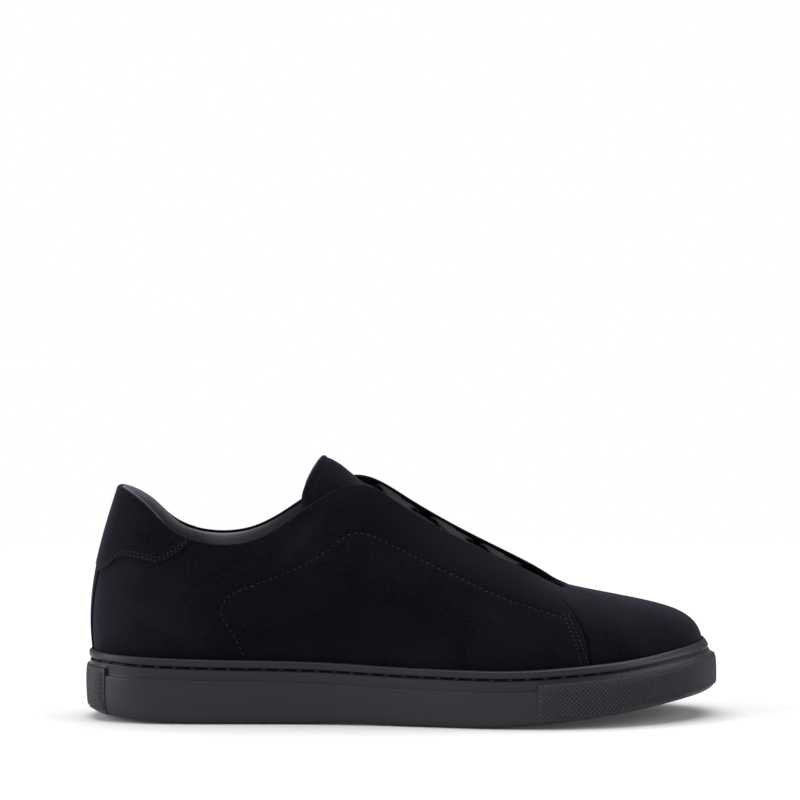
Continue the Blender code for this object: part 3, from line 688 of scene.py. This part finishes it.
quarters = add_panel("quarters", outer, inner, cup_feet(quarter_t, 0.0, SUEDE_STEP))
# Painted shade: the inner quarter's top edge and its whole inner face are marked, and the suede is darkened
# there.
inner_side = 1.0 * (quarter_t < 0)
near_top_shade = (1 - ease(0.0001, 0.0010, (1 - v) * length)) * inner_side
no_edge = np.zeros((1, len(quarter_t)))
inner_face_shade = np.broadcast_to(inner_side, v.shape)
mark(quarters, "shaded_turned_edge", np.concatenate([no_edge, near_top_shade, no_edge, inner_face_shade]))

UNDERLAP, SINK_RUN, SEAM_PRESS = 0.6, 1.1, 0.045
vamp_t = np.linspace(SEAM - UNDERLAP, ROUND - INNER_SEAM + UNDERLAP, 330)
v, length = rows_to_edge(vamp_t, 70)
flat_face = wall_point(vamp_t, v)
normal = wall_normal(vamp_t, v)
past_seam = np.where(vamp_t < TOE, vamp_t - SEAM, ROUND - vamp_t - INNER_SEAM)
sink = SUEDE_STEP * (1.04 * (1 - ease(0, SINK_RUN, past_seam)) + 0.9 * np.exp(-((past_seam / SEAM_PRESS) ** 2)))
outer = flat_face - normal * (sink + SUEDE_STEP * (1 - turned((1 - v) * length)))[..., None]
inner = flat_face - normal * inner_depth(vamp_t, v, length, SUEDE_STEP * 2.15)[..., None]
add_panel("vamp", outer, inner, cup_feet(vamp_t, HAIR, SUEDE_STEP * 2))

# Lining: smooth dark leather inside the upper, padded round the collar.
# Its own rolled edge ends just under the suede's turned one and shows only at the heel tab.
COLLAR_PADDING, PADDING_ROUND = 0.0030, 0.010
PADDED_HEIGHTS, PADDED_STATIONS = (0.40, 0.80), (3.4, 4.8)
LINING_DROP = 0.0003
COLLAR_DARK, COLLAR_LIGHT = (0.112, 0.101, 0.134), (0.150, 0.136, 0.176)
# Both colours on the next line are painted shade, at the heel and in the throat.
COLLAR_SHADED, LINING_THROAT_SHADE = (0.030, 0.027, 0.036), (0.0140, 0.0122, 0.0170)

leather, surface, place = finish("black_leather")
pebble = place.node("ShaderNodeTexVoronoi", {"feature": "DISTANCE_TO_EDGE"}, {"Vector": place, "Scale": 1100.0},
                    "Distance")
wrinkle = place.noise(260, 4, 0.6)
along = place.axis("X")
# Painted shade: the lining in the throat is darkened, where it lies in the eyestays' shadow; it is also made
# rougher there.
shaded_throat = along.step(-0.060, -0.038)
heel_shade = along.step(-0.084, -0.102) * along.step(-0.132, -0.118)
tone = (heel_shade * 0.75).mix(place.noise(70, 2).mix(COLLAR_DARK, COLLAR_LIGHT), COLLAR_SHADED)
feed(surface, {
    "Base Color": shaded_throat.mix(tone, LINING_THROAT_SHADE),
    "Roughness": 0.38 + 0.14 * wrinkle + 0.3 * shaded_throat,
    "Normal": (wrinkle + pebble * 2.0).bump(0.25, 0.0002)})


def padding(down, v):
    """How far the padding swells the lining inwards, down below its top and at the height v."""
    return COLLAR_PADDING * turned(down, PADDING_ROUND) * ease(*PADDED_HEIGHTS, v)


lining_t = both_sides(evenly(240))
side = np.minimum(lining_t, ROUND - lining_t)
length = wall_length(lining_t)
back = SUEDE_STEP * (1.04 + 1.06 * ease(SEAM - 0.9, SEAM - 0.5, side))
roll = np.linspace(0, math.pi, 11)[:, None]
across = back + (WALL - back) * (1 - np.cos(roll)) / 2
crown = (WALL - back) * 0.4 * np.sin(roll) - LINING_DROP - (TURN_DOWN - 0.0001) * past_tab(lining_t)
top, top_normal = wall_point(lining_t, 1.0), wall_normal(lining_t, 1.0)
top_up = unit(top - wall_point(lining_t, 0.97))
front_roll = top - top_normal * across[..., None] + top_up * crown[..., None]
back_roll = (top - top_normal * (back + 0.25 * (across - back))[..., None]
             + top_up * (crown - TOP_ROUND * np.sin(roll) - 0.0001)[..., None])
depths = np.linspace(0, 1, 60)[:, None] ** 1.7
v = (1 - TURN_DOWN * past_tab(lining_t) / length) * (1 - depths)
padded = padding(depths * length, v) * (1 - ease(*PADDED_STATIONS, side))
foot, back_foot = cup_feet(lining_t, WALL, back, 2 * CUP_GAP)
lining = add_skin("lining", np.concatenate([front_roll, on_wall(lining_t, v, -WALL - padded)[1:], foot]),
                  np.concatenate([back_roll, on_wall(lining_t, v, -back)[1:], back_foot]), True, leather)
stands_for(lining, "upper")

# Footbed: a soft insole covered with the same leather, laid loose on the cup's floor.
# Its edge is rounded, its middle is dished a little, and it ends just inside the lining.
FOOTBED_THICKNESS, FOOTBED_GAP = 0.0045, 0.0006
# The footbed's rounded edge from underneath to its dished middle: insets and shares of its thickness.
FOOTBED_EDGE = ((0.0, 0.0), (0.0, 0.55), (0.0003, 0.8), (0.001, 0.95), (0.002, 1.0), (0.005, 0.99),
                (0.010, 0.93), (0.018, 0.86))
bed_t = both_sides(evenly(90))
rows = []
for inset, share in FOOTBED_EDGE:
    plan = sole_plan(bed_t, rim_width(bed_t) + WALL + FOOTBED_GAP + inset)[0]
    rows.append(at_height(plan, cup_floor(plan[..., 0]) + CUP_GAP + FOOTBED_THICKNESS * share))
count = len(bed_t)
faces = quad_strip(len(rows), count, True) + flat_end(0, count) + flat_end((len(rows) - 1) * count, count)
footbed = add_mesh("footbed", np.reshape(rows, (-1, 3)), faces, leather)
stands_for(footbed, "insole")

# Heel tab and back strip: suede overlays sewn on round the back of the collar.
# The tab's lower edge waves; the strip below it narrows towards the sole.
TAB_END = 3.15
TAB_EDGE = ((0.0, 0.525), (0.35, 0.512), (0.69, 0.490), (1.03, 0.520), (1.28, 0.585), (1.50, 0.622),
            (1.88, 0.641), (2.21, 0.661), (2.40, 0.683), (2.77, 0.790), (3.01, 0.910), (3.15, 0.985))
TAB_THICKNESS, STRIP_THICKNESS = 0.0011, 0.0008
PROUD, SUNK = 0.0001, -0.0002


def tab_edge(t):
    path_tv = smooth_path(TAB_EDGE)
    return np.interp(np.abs(t), path_tv[:, 0], path_tv[:, 1])


tab_t = np.linspace(-TAB_END, TAB_END, 241)
low_edge, length = tab_edge(tab_t), wall_length(tab_t)
edge_rows = np.array(NEAR_EDGE)[:, None] / length
middle_rows = low_edge + 0.0014 / length + (1 - low_edge - 0.0024 / length) * np.linspace(0, 1, 40)[:, None]
v = np.clip(np.concatenate([low_edge + edge_rows, middle_rows, (1 - edge_rows)[::-1]]), 0, 1)
v = np.maximum.accumulate(v, 0)
fullness = turned((v - low_edge) * length) * turned((1 - v) * length)
tab = add_skin("heel_tab_suede", on_wall(tab_t, v, PROUD + TAB_THICKNESS * fullness), on_wall(tab_t, v, SUNK),
               False, suede)
stands_for(tab, "heel_tab")

STRIP_LOW, STRIP_HIGH = 0.26, 0.66
STRIP_FOOT, STRIP_TUCK = -0.02, 0.01
METRES_PER_STATION = 0.018
rise = np.concatenate([[0.0], np.linspace(0.004, 1, 60)])[:, None]
columns = np.concatenate([[-1, -0.995, -0.97, -0.93], np.linspace(-0.88, 0.88, 31), [0.93, 0.97, 0.995, 1]])
half_width = STRIP_LOW + (STRIP_HIGH - STRIP_LOW) * rise
strip_top = tab_edge(STRIP_HIGH * columns) + STRIP_TUCK
v = np.clip(STRIP_FOOT + (strip_top - STRIP_FOOT) * rise, 0, 1)
fullness = turned((1 - np.abs(columns)) * METRES_PER_STATION * half_width)
strip = add_skin("back_strip_suede", on_wall(half_width * columns, v, PROUD + STRIP_THICKNESS * fullness),
                 on_wall(half_width * columns, v, SUNK), False, suede)
stands_for(strip, "back_strip")

# Tongue: padded, suede outside and leather inside, sewn in under the vamp.
# Its rear end stands up out of the collar as a rounded peak.
STRAP_THICKNESS = 0.0012
STRAP_GAP = 0.00045
TONGUE_THICKNESS, TONGUE_GAP = 0.0034, 0.0003
TONGUE_SAG, TONGUE_PUFF = 0.0008, 0.0008
TONGUE_SEAM, SEAM_DENT, SEAM_REACH = 0.0034, 0.00045, 0.0008

# Sections over the throat: place along the shoe, crest, backward lean, half-width, room for straps.
PLACE, CREST, LEAN, HALF_WIDTH, ROOM = range(5)
SECTIONS = np.array((
    (0.379, 1.150, 0.55, 0.440, 0.00), (0.409, 1.110, 0.42, 0.400, 0.55), (0.446, 1.035, 0.20, 0.330, 1.00),
    (0.497, 0.949, 0.00, 0.290, 1.00), (0.560, 0.851, 0.00, 0.275, 1.00), (0.625, 0.757, 0.00, 0.265, 1.00),
    (0.685, 0.669, 0.00, 0.255, 1.00), (0.725, 0.608, 0.00, 0.240, 0.60), (0.750, 0.568, 0.00, 0.230, 0.20),
    (0.769, 0.560, 0.00, 0.220, 0.15), (0.799, 0.541, 0.00, 0.180, 0.00)))

# How far the tongue's rear edge bows forwards of its section, by share of its half-width.
REAR_EDGE = np.array(((0.0, 0.0), (0.35, -0.0015), (0.55, -0.0017), (0.68, -0.0009), (0.78, 0.0007),
                      (0.90, 0.0032), (1.0, 0.0046)))
throat_t = np.linspace(3.6, TOE, 141)
throat_v = np.linspace(1.0, 0.2, 61)
THROAT = {-1: wall_point(throat_t[:, None], throat_v), 1: wall_point(ROUND - throat_t[:, None], throat_v)}


def finer(grid, places, wanted):
    """A grid's rows resampled at wanted values of places, on a smooth curve through them."""
    wanted = np.clip(wanted, places[0], places[-1])
    slopes = np.gradient(grid, places, axis=0)
    k = np.clip(np.searchsorted(places, wanted) - 1, 0, len(places) - 2)
    shape = (-1,) + (1,) * (grid.ndim - 1)
    span = (places[k + 1] - places[k]).reshape(shape)
    f = (wanted - places[k]).reshape(shape) / span
    curve = (2 * f**3 - 3 * f**2 + 1) * grid[k] + (3 * f**2 - 2 * f**3) * grid[k + 1]
    return curve + span * ((f**3 - 2 * f**2 + f) * slopes[k] + (f**3 - f**2) * slopes[k + 1])


def section_at(x, column):
    """A column of the sections at the length x."""
    return float(finer(SECTIONS[:, column], SECTIONS[:, PLACE] * LENGTH, np.array([x]))[0])


def wing(side, reach, lean):
    """Where a leaning section cuts one side of the upper, from the top downwards."""
    face = THROAT[side]
    value = face[..., 0] - lean * face[..., 2]
    top = value[:, 0]
    last = int(np.searchsorted(top, reach)) - 1
    points = []
    if last + 1 < len(top):
        f = (reach - top[last]) / (top[last + 1] - top[last])
        points.append(face[last, 0] * (1 - f) + face[last + 1, 0] * f)
    for k in range(last, -1, -1):
        if value[k, -1] < reach:
            break
        j = int(np.searchsorted(value[k], reach))
        f = (reach - value[k, j - 1]) / (value[k, j] - value[k, j - 1]) if j else 0.0
        points.append(face[k, max(j - 1, 0)] * (1 - f) + face[k, j] * f)
    return np.array(points), last + 1 < len(top)


def run_along(points):
    """How far along a line of points each of them lies."""
    return np.append(0.0, np.cumsum(np.linalg.norm(np.diff(points, axis=0), axis=1)))


def throat_row(x, shares, in_gaps=False):
    """Points over the throat at x; shares of the tongue's half-width, or of the open gap's."""
    crest, lean = section_at(x, CREST) * COLLAR_HEIGHT, section_at(x, LEAN)
    cuts = {side: wing(side, x - lean * crest, lean) for side in (-1, 1)}
    middle = None
    if cuts[-1][1]:
        middle = (cuts[-1][0][0] + cuts[1][0][0]) / 2
        middle[0], middle[2] = x, crest
    row = []
    for side in (-1, 1):
        line, gap = cuts[side][0], 0.0
        if middle is not None:
            edge, away = line[0], unit(line[0] - line[2])
            handle = np.linalg.norm(middle - edge) * 0.36
            bow = bezier(middle, middle + np.array([0.0, side * handle, 0.0]),
                         edge + away * handle * 0.55, edge, np.linspace(0, 1, 15)[:, None])
            line = np.concatenate([bow[:-1], line])
            gap = run_along(bow)[-1]
        lengths = run_along(line)
        half = gap if in_gaps else section_at(x, HALF_WIDTH) * BALL_WIDTH
        wanted = [abs(share) * half for share in shares if share * side > 0]
        row += [[np.interp(place, lengths, line[:, axis]) for axis in range(3)] for place in wanted]
        if side < 0 and 0 in shares:
            row.append((line[0] if middle is None else middle).tolist())
    return np.array(row)


def softened(grid, rounds):
    """Averages a grid's inner rows with their neighbours, to smooth its sampled curve."""
    for _ in range(rounds):
        grid[1:-1] = grid[1:-1] * 0.5 + (grid[:-2] + grid[2:]) * 0.25
        grid[:, 1:-1] = grid[:, 1:-1] * 0.5 + (grid[:, :-2] + grid[:, 2:]) * 0.25
    return grid


def facing_up(grid):
    """A grid's normals, which all point up and out of the shoe."""
    normals = unit(np.cross(np.gradient(grid, axis=1), np.gradient(grid, axis=0)))
    return normals * np.sign(normals[grid.shape[0] // 2, grid.shape[1] // 2, 2])


def finer_across(grid, places, wanted):
    return finer(grid.transpose(1, 0, 2), places, wanted).transpose(1, 0, 2)


first_x, last_x = SECTIONS[0, PLACE] * LENGTH, SECTIONS[-1, PLACE] * LENGTH
coarse_x = np.linspace(first_x, last_x, 46)
coarse_shares = np.linspace(-1, 1, 33)
bow = np.interp(np.abs(coarse_shares), REAR_EDGE[:, 0], REAR_EDGE[:, 1])
near_rear = 1 - ease(first_x, SECTIONS[2, PLACE] * LENGTH, coarse_x)
base = np.array([[throat_row(x + weight * shift, (share,))[0] for share, shift in zip(coarse_shares, bow)]
                 for x, weight in zip(coarse_x, near_rear)])
rows_x = np.concatenate([first_x + np.array([0, 0.00015, 0.0004, 0.0008, 0.0013, 0.0019]),
                         np.linspace(first_x + 0.0027, last_x, 110)])
edge_shares = np.array([0.0, 0.004, 0.012, 0.024, 0.04])
shares = np.concatenate([-1 + edge_shares, np.linspace(-0.94, 0.94, 81), (1 - edge_shares)[::-1]])
base = finer_across(finer(softened(base, 2), coarse_x, rows_x), coarse_shares, shares)
normal = facing_up(base)
room = np.clip([section_at(x, ROOM) for x in rows_x], 0, 1)[:, None]
depth = WALL + TONGUE_GAP + (STRAP_THICKNESS + 2 * STRAP_GAP - TONGUE_GAP) * room
borders = (base[:1], base[:, :1], base[:, -1:])
from_edge = np.min([np.linalg.norm(base - border, axis=-1) for border in borders], 0)
half = TONGUE_THICKNESS / 2
sag = TONGUE_SAG * ease(0.9, 1.0, room) * np.clip(1 - (shares / 0.6) ** 2, 0, None)
centre = base - normal * (depth + sag + half)[..., None]
puff = TONGUE_PUFF * (1 - room) * ease(0.003, 0.012, from_edge)
dent = SEAM_DENT * np.exp(-(((from_edge - TONGUE_SEAM) / SEAM_REACH) ** 2)) * (1 - room)
full = half * turned(from_edge, half * 1.1)
lifts = (full + puff - dent, -full * 0.25, -full * 0.2, -full - puff * 0.5)
faces = [centre + normal * lift[..., None] for lift in lifts]
tongue = add_skin("tongue_suede", faces[0], faces[1], False, suede)
tongue_lining = add_skin("tongue_leather", faces[2], faces[3], False, leather)
for piece, slot in ((tongue, "suede"), (tongue_lining, "footbed")):
    stands_for(piece, "tongue")

# Straps: three crosses of flat ribbed elastic from eyestay to eyestay, over the tongue.
# In each cross the band that runs to the inner side's rear lies on top.
STRAP_WIDTH = 0.0095
STRAP_RUN = 0.0050
STRAP_SEAT = 1.26
STRAP_SAG = 0.0011
RIBS, RIB_HEIGHT = 15, 0.00006
CROSSES = {"strap_cross_rear": 0.497, "strap_cross_middle": 0.583, "strap_cross_front": 0.662}
ELASTIC_DARK, ELASTIC_LIGHT = (0.0058, 0.0046, 0.0078), (0.0092, 0.0076, 0.0118)

elastic, surface, place = finish("elastic")
knit = place.node("ShaderNodeTexVoronoi", {}, {"Vector": place, "Scale": 1700.0}, "Distance")
feed(surface, {
    "Base Color": place.noise(160, 3, 0.5).mix(ELASTIC_DARK, ELASTIC_LIGHT),
    "Roughness": 0.72 + 0.12 * knit,
    "Normal": knit.bump(0.6, 0.0002, invert=True),
    "Sheen Weight": 0.08,
    "Specular IOR Level": 0.08,
    "Sheen Roughness": 0.4})

stops, fine_stops = np.linspace(-STRAP_SEAT, STRAP_SEAT, 31), np.linspace(-STRAP_SEAT, STRAP_SEAT, 91)
across, fine_across = np.linspace(-0.5, 0.5, 7), np.linspace(-0.5, 0.5, RIBS * 4 + 1)
side_gap = (0.5 - np.abs(fine_across)) * STRAP_WIDTH
ribs = RIB_HEIGHT * np.cos(2 * math.pi * RIBS * (fine_across + 0.5)) * turned(side_gap, 0.001)
half_thick = (STRAP_THICKNESS / 2 * turned(side_gap, 0.0006) + 0.00004 + ribs)[:, None]
sag = STRAP_SAG * np.clip(1 - (fine_stops / 1.05) ** 2, 0, None)
for name, share in CROSSES.items():
    for label, direction, lift in (("under", 1, 0.0), ("over", -1, STRAP_THICKNESS * 0.96)):
        grid = np.array([[throat_row(share * LENGTH + direction * STRAP_RUN * stop + part * STRAP_WIDTH,
                                     (stop,) if stop else (0,), True)[0] for part in across] for stop in stops])
        grid = finer_across(finer(grid, stops, fine_stops), across, fine_across)
        normal = facing_up(grid)
        raised = lift * (1 - ease(0.55, 0.98, np.abs(fine_stops)))
        middle = grid + normal * (raised - sag - WALL - STRAP_GAP - STRAP_THICKNESS / 2)[:, None, None]
        band = add_skin(f"{name}_{label}", middle + normal * half_thick, middle - normal * half_thick, False,
                        elastic, smooth_angle=1.2)
        stands_for(band, name)

# Sewing: single stitches of thread, each an elongated bead sunk in its channel, grey on the
# suede and lining and darker in the sole's groove. One node tree lays every row along lines
# measured on the outer side and mirrored.
# A kind of stitch is its pitch, its length and the thickness of its thread.
QUARTER_STITCH, LINING_STITCH = (0.0030, 0.0016, 0.00032), (0.0019, 0.0010, 0.0004)
SEAM_STITCH, TAB_STITCH = (0.0021, 0.0010, 0.00044), (0.0021, 0.0010, 0.0004)
GROOVE_STITCH = (0.0082, 0.0028, 0.0009)
QUARTER_SUNK, SEAM_SUNK = -0.00016, -0.00006
LINING_SEAM = (3.12, 3.25)
TAB_ROWS = (0.0008, 0.0023)


def join(tree, *links):
    """Links sockets of a tree, each link given as node, output, node, input."""
    for source, output, target, place in links:
        tree.links.new(source.outputs[output], target.inputs[place])


def laying_tree(name, places, sizes):
    """A tree that lays one small shape on many points: the tree, its inputs and the node that lays."""
    tree = bpy.data.node_groups.new(name, "GeometryNodeTree")
    for label, kind in ((places, "Geometry"), *((size, "Float") for size in sizes), ("Finish", "Material")):
        tree.interface.new_socket(label, in_out="INPUT", socket_type="NodeSocket" + kind)
    tree.interface.new_socket("Pieces", in_out="OUTPUT", socket_type="NodeSocketGeometry")
    new = tree.nodes.new
    start, lay, end = new("NodeGroupInput"), new("GeometryNodeInstanceOnPoints"), new("NodeGroupOutput")
    real, coat = new("GeometryNodeRealizeInstances"), new("GeometryNodeSetMaterial")
    join(tree, (lay, "Instances", real, "Geometry"), (real, "Geometry", coat, "Geometry"),
         (start, "Finish", coat, "Material"), (coat, "Geometry", end, "Pieces"))
    return tree, start, lay


def row_tree():
    """A node tree that lays stitches along a line of edges."""
    tree, start, lay = laying_tree("stitch_row", "Line", ("Pitch", "Stitch", "Thread"))
    new = tree.nodes.new
    curve, spaced = new("GeometryNodeMeshToCurve"), new("GeometryNodeResampleCurve")
    spaced.mode = "LENGTH"
    bead, smooth = new("GeometryNodeMeshUVSphere"), new("GeometryNodeSetShadeSmooth")
    feed(bead.inputs, {"Segments": 8, "Rings": 6, "Radius": 0.5})
    size, stretch = new("ShaderNodeCombineXYZ"), new("GeometryNodeTransform")
    tangent, turn = new("GeometryNodeInputTangent"), new("FunctionNodeAlignRotationToVector")
    turn.axis = "X"
    join(tree, (start, "Line", curve, "Mesh"), (curve, "Curve", spaced, "Curve"),
         (start, "Pitch", spaced, "Length"), (start, "Stitch", size, "X"),
         (start, "Thread", size, "Y"), (start, "Thread", size, "Z"),
         (bead, "Mesh", smooth, "Geometry"), (smooth, "Geometry", stretch, "Geometry"),
         (size, "Vector", stretch, "Scale"), (tangent, "Tangent", turn, "Vector"),
         (spaced, "Curve", lay, "Points"), (stretch, "Geometry", lay, "Instance"),
         (turn, "Rotation", lay, "Rotation"))
    return tree


def laid(name, mesh, tree, sizes):
    """Runs a node tree on a mesh of lines or places and keeps the plain result as a piece."""
    carrier = add_object("carrier", mesh)
    modifier = carrier.modifiers.new("lay", "NODES")
    modifier.node_group = tree
    for item in tree.interface.items_tree:
        if item.in_out == "INPUT" and item.name in sizes:
            modifier[item.identifier] = sizes[item.name]
    carrier.update_tag()
    result = carrier.evaluated_get(bpy.context.evaluated_depsgraph_get())
    made = bpy.data.meshes.new_from_object(result)
    bpy.data.objects.remove(carrier)
    return add_object(name, made)


def line_mesh(lines):
    """A mesh of edges along several lines of points in the shoe's measure."""
    points, edges = [], []
    for line in lines:
        edges += [(len(points) + k, len(points) + k + 1) for k in range(len(line) - 1)]
        points += (np.asarray(line) - MIDDLE).tolist()
    mesh = bpy.data.meshes.new("line")
    mesh.from_pydata(points, edges, [])
    return mesh


def thread_finish(name, colour):
    """A twisted thread's material, a fifth lighter and darker than its colour."""
    made, surface, place = finish(name)
    twist = place.noise(2600, 2)
    feed(surface, {
        "Base Color": twist.mix([part * 0.8 for part in colour], [part * 1.2 for part in colour]),
        "Normal": twist.bump(0.4, 0.0001),
        "Roughness": 0.8})
    return made


grey_thread = thread_finish("grey_thread", (0.0165, 0.0150, 0.0188))
black_thread = thread_finish("black_thread", (0.0090, 0.0078, 0.0112))
stitch_tree = row_tree()


def sew(name, lines, stitch, thread, node):
    sizes = dict(zip(("Pitch", "Stitch", "Thread"), stitch), Finish=thread)
    stands_for(laid(name, line_mesh(lines), stitch_tree, sizes), node)


def on_suede(points, lift):
    """The outer side's sewn line and its inner likeness, lift above the creased suede."""
    return [creased(on_wall(*path_tv.T, lift), wall_normal(*path_tv.T))
            for path_tv in both(smooth_path(points))]


sew("quarter_stitches", on_suede(QUARTER_LINE, QUARTER_SUNK), QUARTER_STITCH, grey_thread, "upper")
lining_rows = []
seam_v = np.linspace(0.985, 0.62, 40)
for seam_t in (ROUND - LINING_SEAM[0], ROUND - LINING_SEAM[1], *LINING_SEAM):
    swollen = padding((1 - seam_v) * wall_length([seam_t]), seam_v)
    lining_rows.append(on_wall(seam_t, seam_v, -(WALL + 0.0001 + swollen)))
sew("lining_stitches", lining_rows, LINING_STITCH, grey_thread, "upper")
seam_lines = on_suede(SEAM_ROWS[0], SEAM_SUNK) + on_suede(SEAM_ROWS[1], SEAM_SUNK)
sew("seam_stitches", seam_lines, SEAM_STITCH, grey_thread, "upper")


def tab_row(distance):
    """A line on the tab, distance above its lower edge."""
    t = np.linspace(-TAB_END * 0.97, TAB_END * 0.97, 400)
    return on_wall(t, np.minimum(tab_edge(t) + distance / wall_length(t), 0.99), TAB_THICKNESS + 0.00002)


sew("tab_stitches", [tab_row(distance) for distance in TAB_ROWS], TAB_STITCH, grey_thread, "heel_tab")
groove_t = np.linspace(0, ROUND, 1500)
line = wall_lines(groove_t)
in_groove = sole_plan(groove_t, line["face"] + GROOVE_DEPTH * (0.5 + 0.6 * line["toe"]))[0]
thread_line = at_height(in_groove, line["groove"])
sew("groove_thread", [thread_line], GROOVE_STITCH, black_thread, "cup_sole")

# Knurling: small four-sided points moulded on the toe's and heel's bumpers in crossed diagonal rows.
# One node tree sets a point on every place worked out along the bumper's face.
KNURL_PITCH, KNURL_HEIGHT = 0.00216, 0.00042
KNURL_START, KNURL_END = 0.0020, 0.01


def knurl_tree():
    tree, start, lay = laying_tree("knurl", "Places", ("Radius", "Top", "Height"))
    new = tree.nodes.new
    point = new("GeometryNodeMeshCone")
    point.inputs["Vertices"].default_value = 4
    turns = []
    for label, axis in (("out", "Z"), ("along", "X")):
        named, turn = new("GeometryNodeInputNamedAttribute"), new("FunctionNodeAlignRotationToVector")
        named.data_type = "FLOAT_VECTOR"
        named.inputs["Name"].default_value = label
        turn.axis = axis
        join(tree, (named, "Attribute", turn, "Vector"))
        turns.append(turn)
    turns[1].pivot_axis = "Z"
    join(tree, (turns[0], "Rotation", turns[1], "Rotation"), (start, "Radius", point, "Radius Bottom"),
         (start, "Top", point, "Radius Top"), (start, "Height", point, "Depth"),
         (start, "Places", lay, "Points"), (point, "Mesh", lay, "Instance"),
         (turns[1], "Rotation", lay, "Rotation"))
    return tree


def bumper_places(t_low, t_high):
    """Places of the knurl on one bumper, with the wall's outward direction and its run."""
    t = np.linspace(t_low, t_high, 900)
    run = run_along(sole_plan(t)[0])
    half = KNURL_PITCH / 2
    columns = int((run[-1] - KNURL_PITCH) / half)
    stations = np.interp((run[-1] - columns * half) / 2 + np.arange(columns + 1) * half, run, t)
    line = wall_lines(stations)
    plan, inward = sole_plan(stations)
    along = np.stack([-inward[:, 1], inward[:, 0]], -1)
    made = []
    for k in range(columns + 1):
        low, ledge, corner = (line[key][k] for key in ("low", "ledge", "corner"))
        shoulder, lean = line["shoulder"][k], line["lean"][k]
        top, bottom = ledge - max(KNURL_PITCH * 0.45, corner * 0.5), low + KNURL_START
        for j in range(int((top - bottom) / KNURL_PITCH) + 1):
            height = top - (j + 0.5 * (k % 2)) * KNURL_PITCH
            if height > bottom:
                share = (height - low) / (ledge - low)
                inset = (HAIR + shoulder * share**5 + lean * 0.7 * (1 - share) ** 2
                         + TREAD_EDGE * 0.85 * (1 - turned(height - low, TREAD_RISE))
                         + corner * 0.6 * (1 - turned(ledge - height, corner)))
                made.append((*(plan[k] + inward[k] * inset), height, *-inward[k], 0, *along[k], 0))
    return made


places = np.array(bumper_places(BUMPER_EDGES[1] + KNURL_END, ROUND - BUMPER_EDGES[1] - KNURL_END)
                  + bumper_places(KNURL_END - BUMPER_EDGES[0], BUMPER_EDGES[0] - KNURL_END))
place_mesh = bpy.data.meshes.new("places")
place_mesh.from_pydata((places[:, :3] - MIDDLE).tolist(), [], [])
for label, first in (("out", 3), ("along", 6)):
    made = place_mesh.attributes.new(label, "FLOAT_VECTOR", "POINT")
    made.data.foreach_set("vector", places[:, first:first + 3].ravel())
knurl = laid("bumper_knurl", place_mesh, knurl_tree(),
             {"Radius": KNURL_PITCH * 0.5, "Top": KNURL_PITCH * 0.1, "Height": KNURL_HEIGHT, "Finish": rubber})
stands_for(knurl, "cup_sole")

# Floor: a plain white sweep under the shoe, matt close by, where it takes the soft shadow.
# Further out it shines evenly, so that floor and background are one white.
FLOOR_REACH, FLOOR_WHITE = 30, 0.76
GLOW_START, GLOW_FULL = 0.25, 0.9

floor_mesh = bpy.data.meshes.new("floor")
floor_mesh.from_pydata([(x * FLOOR_REACH, y * FLOOR_REACH, 0) for x, y in ((-1, -1), (1, -1), (1, 1), (-1, 1))],
                       [], [(0, 1, 2, 3)])
floor = add_object("floor", floor_mesh)
white, surface, place = finish("white_floor")
feed(surface, {"Base Color": (*[FLOOR_WHITE] * 3, 1), "Roughness": 0.9, "Specular IOR Level": 0.0})
away = place.node("ShaderNodeVectorMath", {"operation": "LENGTH"}, {0: place}, "Value")
glow = 0.03 + 0.97 * away.step(GLOW_START, GLOW_FULL)
matt = Wire(white.node_tree, white.node_tree.nodes["Principled BSDF"].outputs[0])
light = place.node("ShaderNodeEmission", {}, {"Color": (1, 1, 1, 1), "Strength": 1.0}, "Emission")
mixed = place.node("ShaderNodeMixShader", {}, {0: glow, 1: matt, 2: light})
feed(white.node_tree.nodes["Material Output"].inputs, {"Surface": mixed})
floor_mesh.materials.append(white)
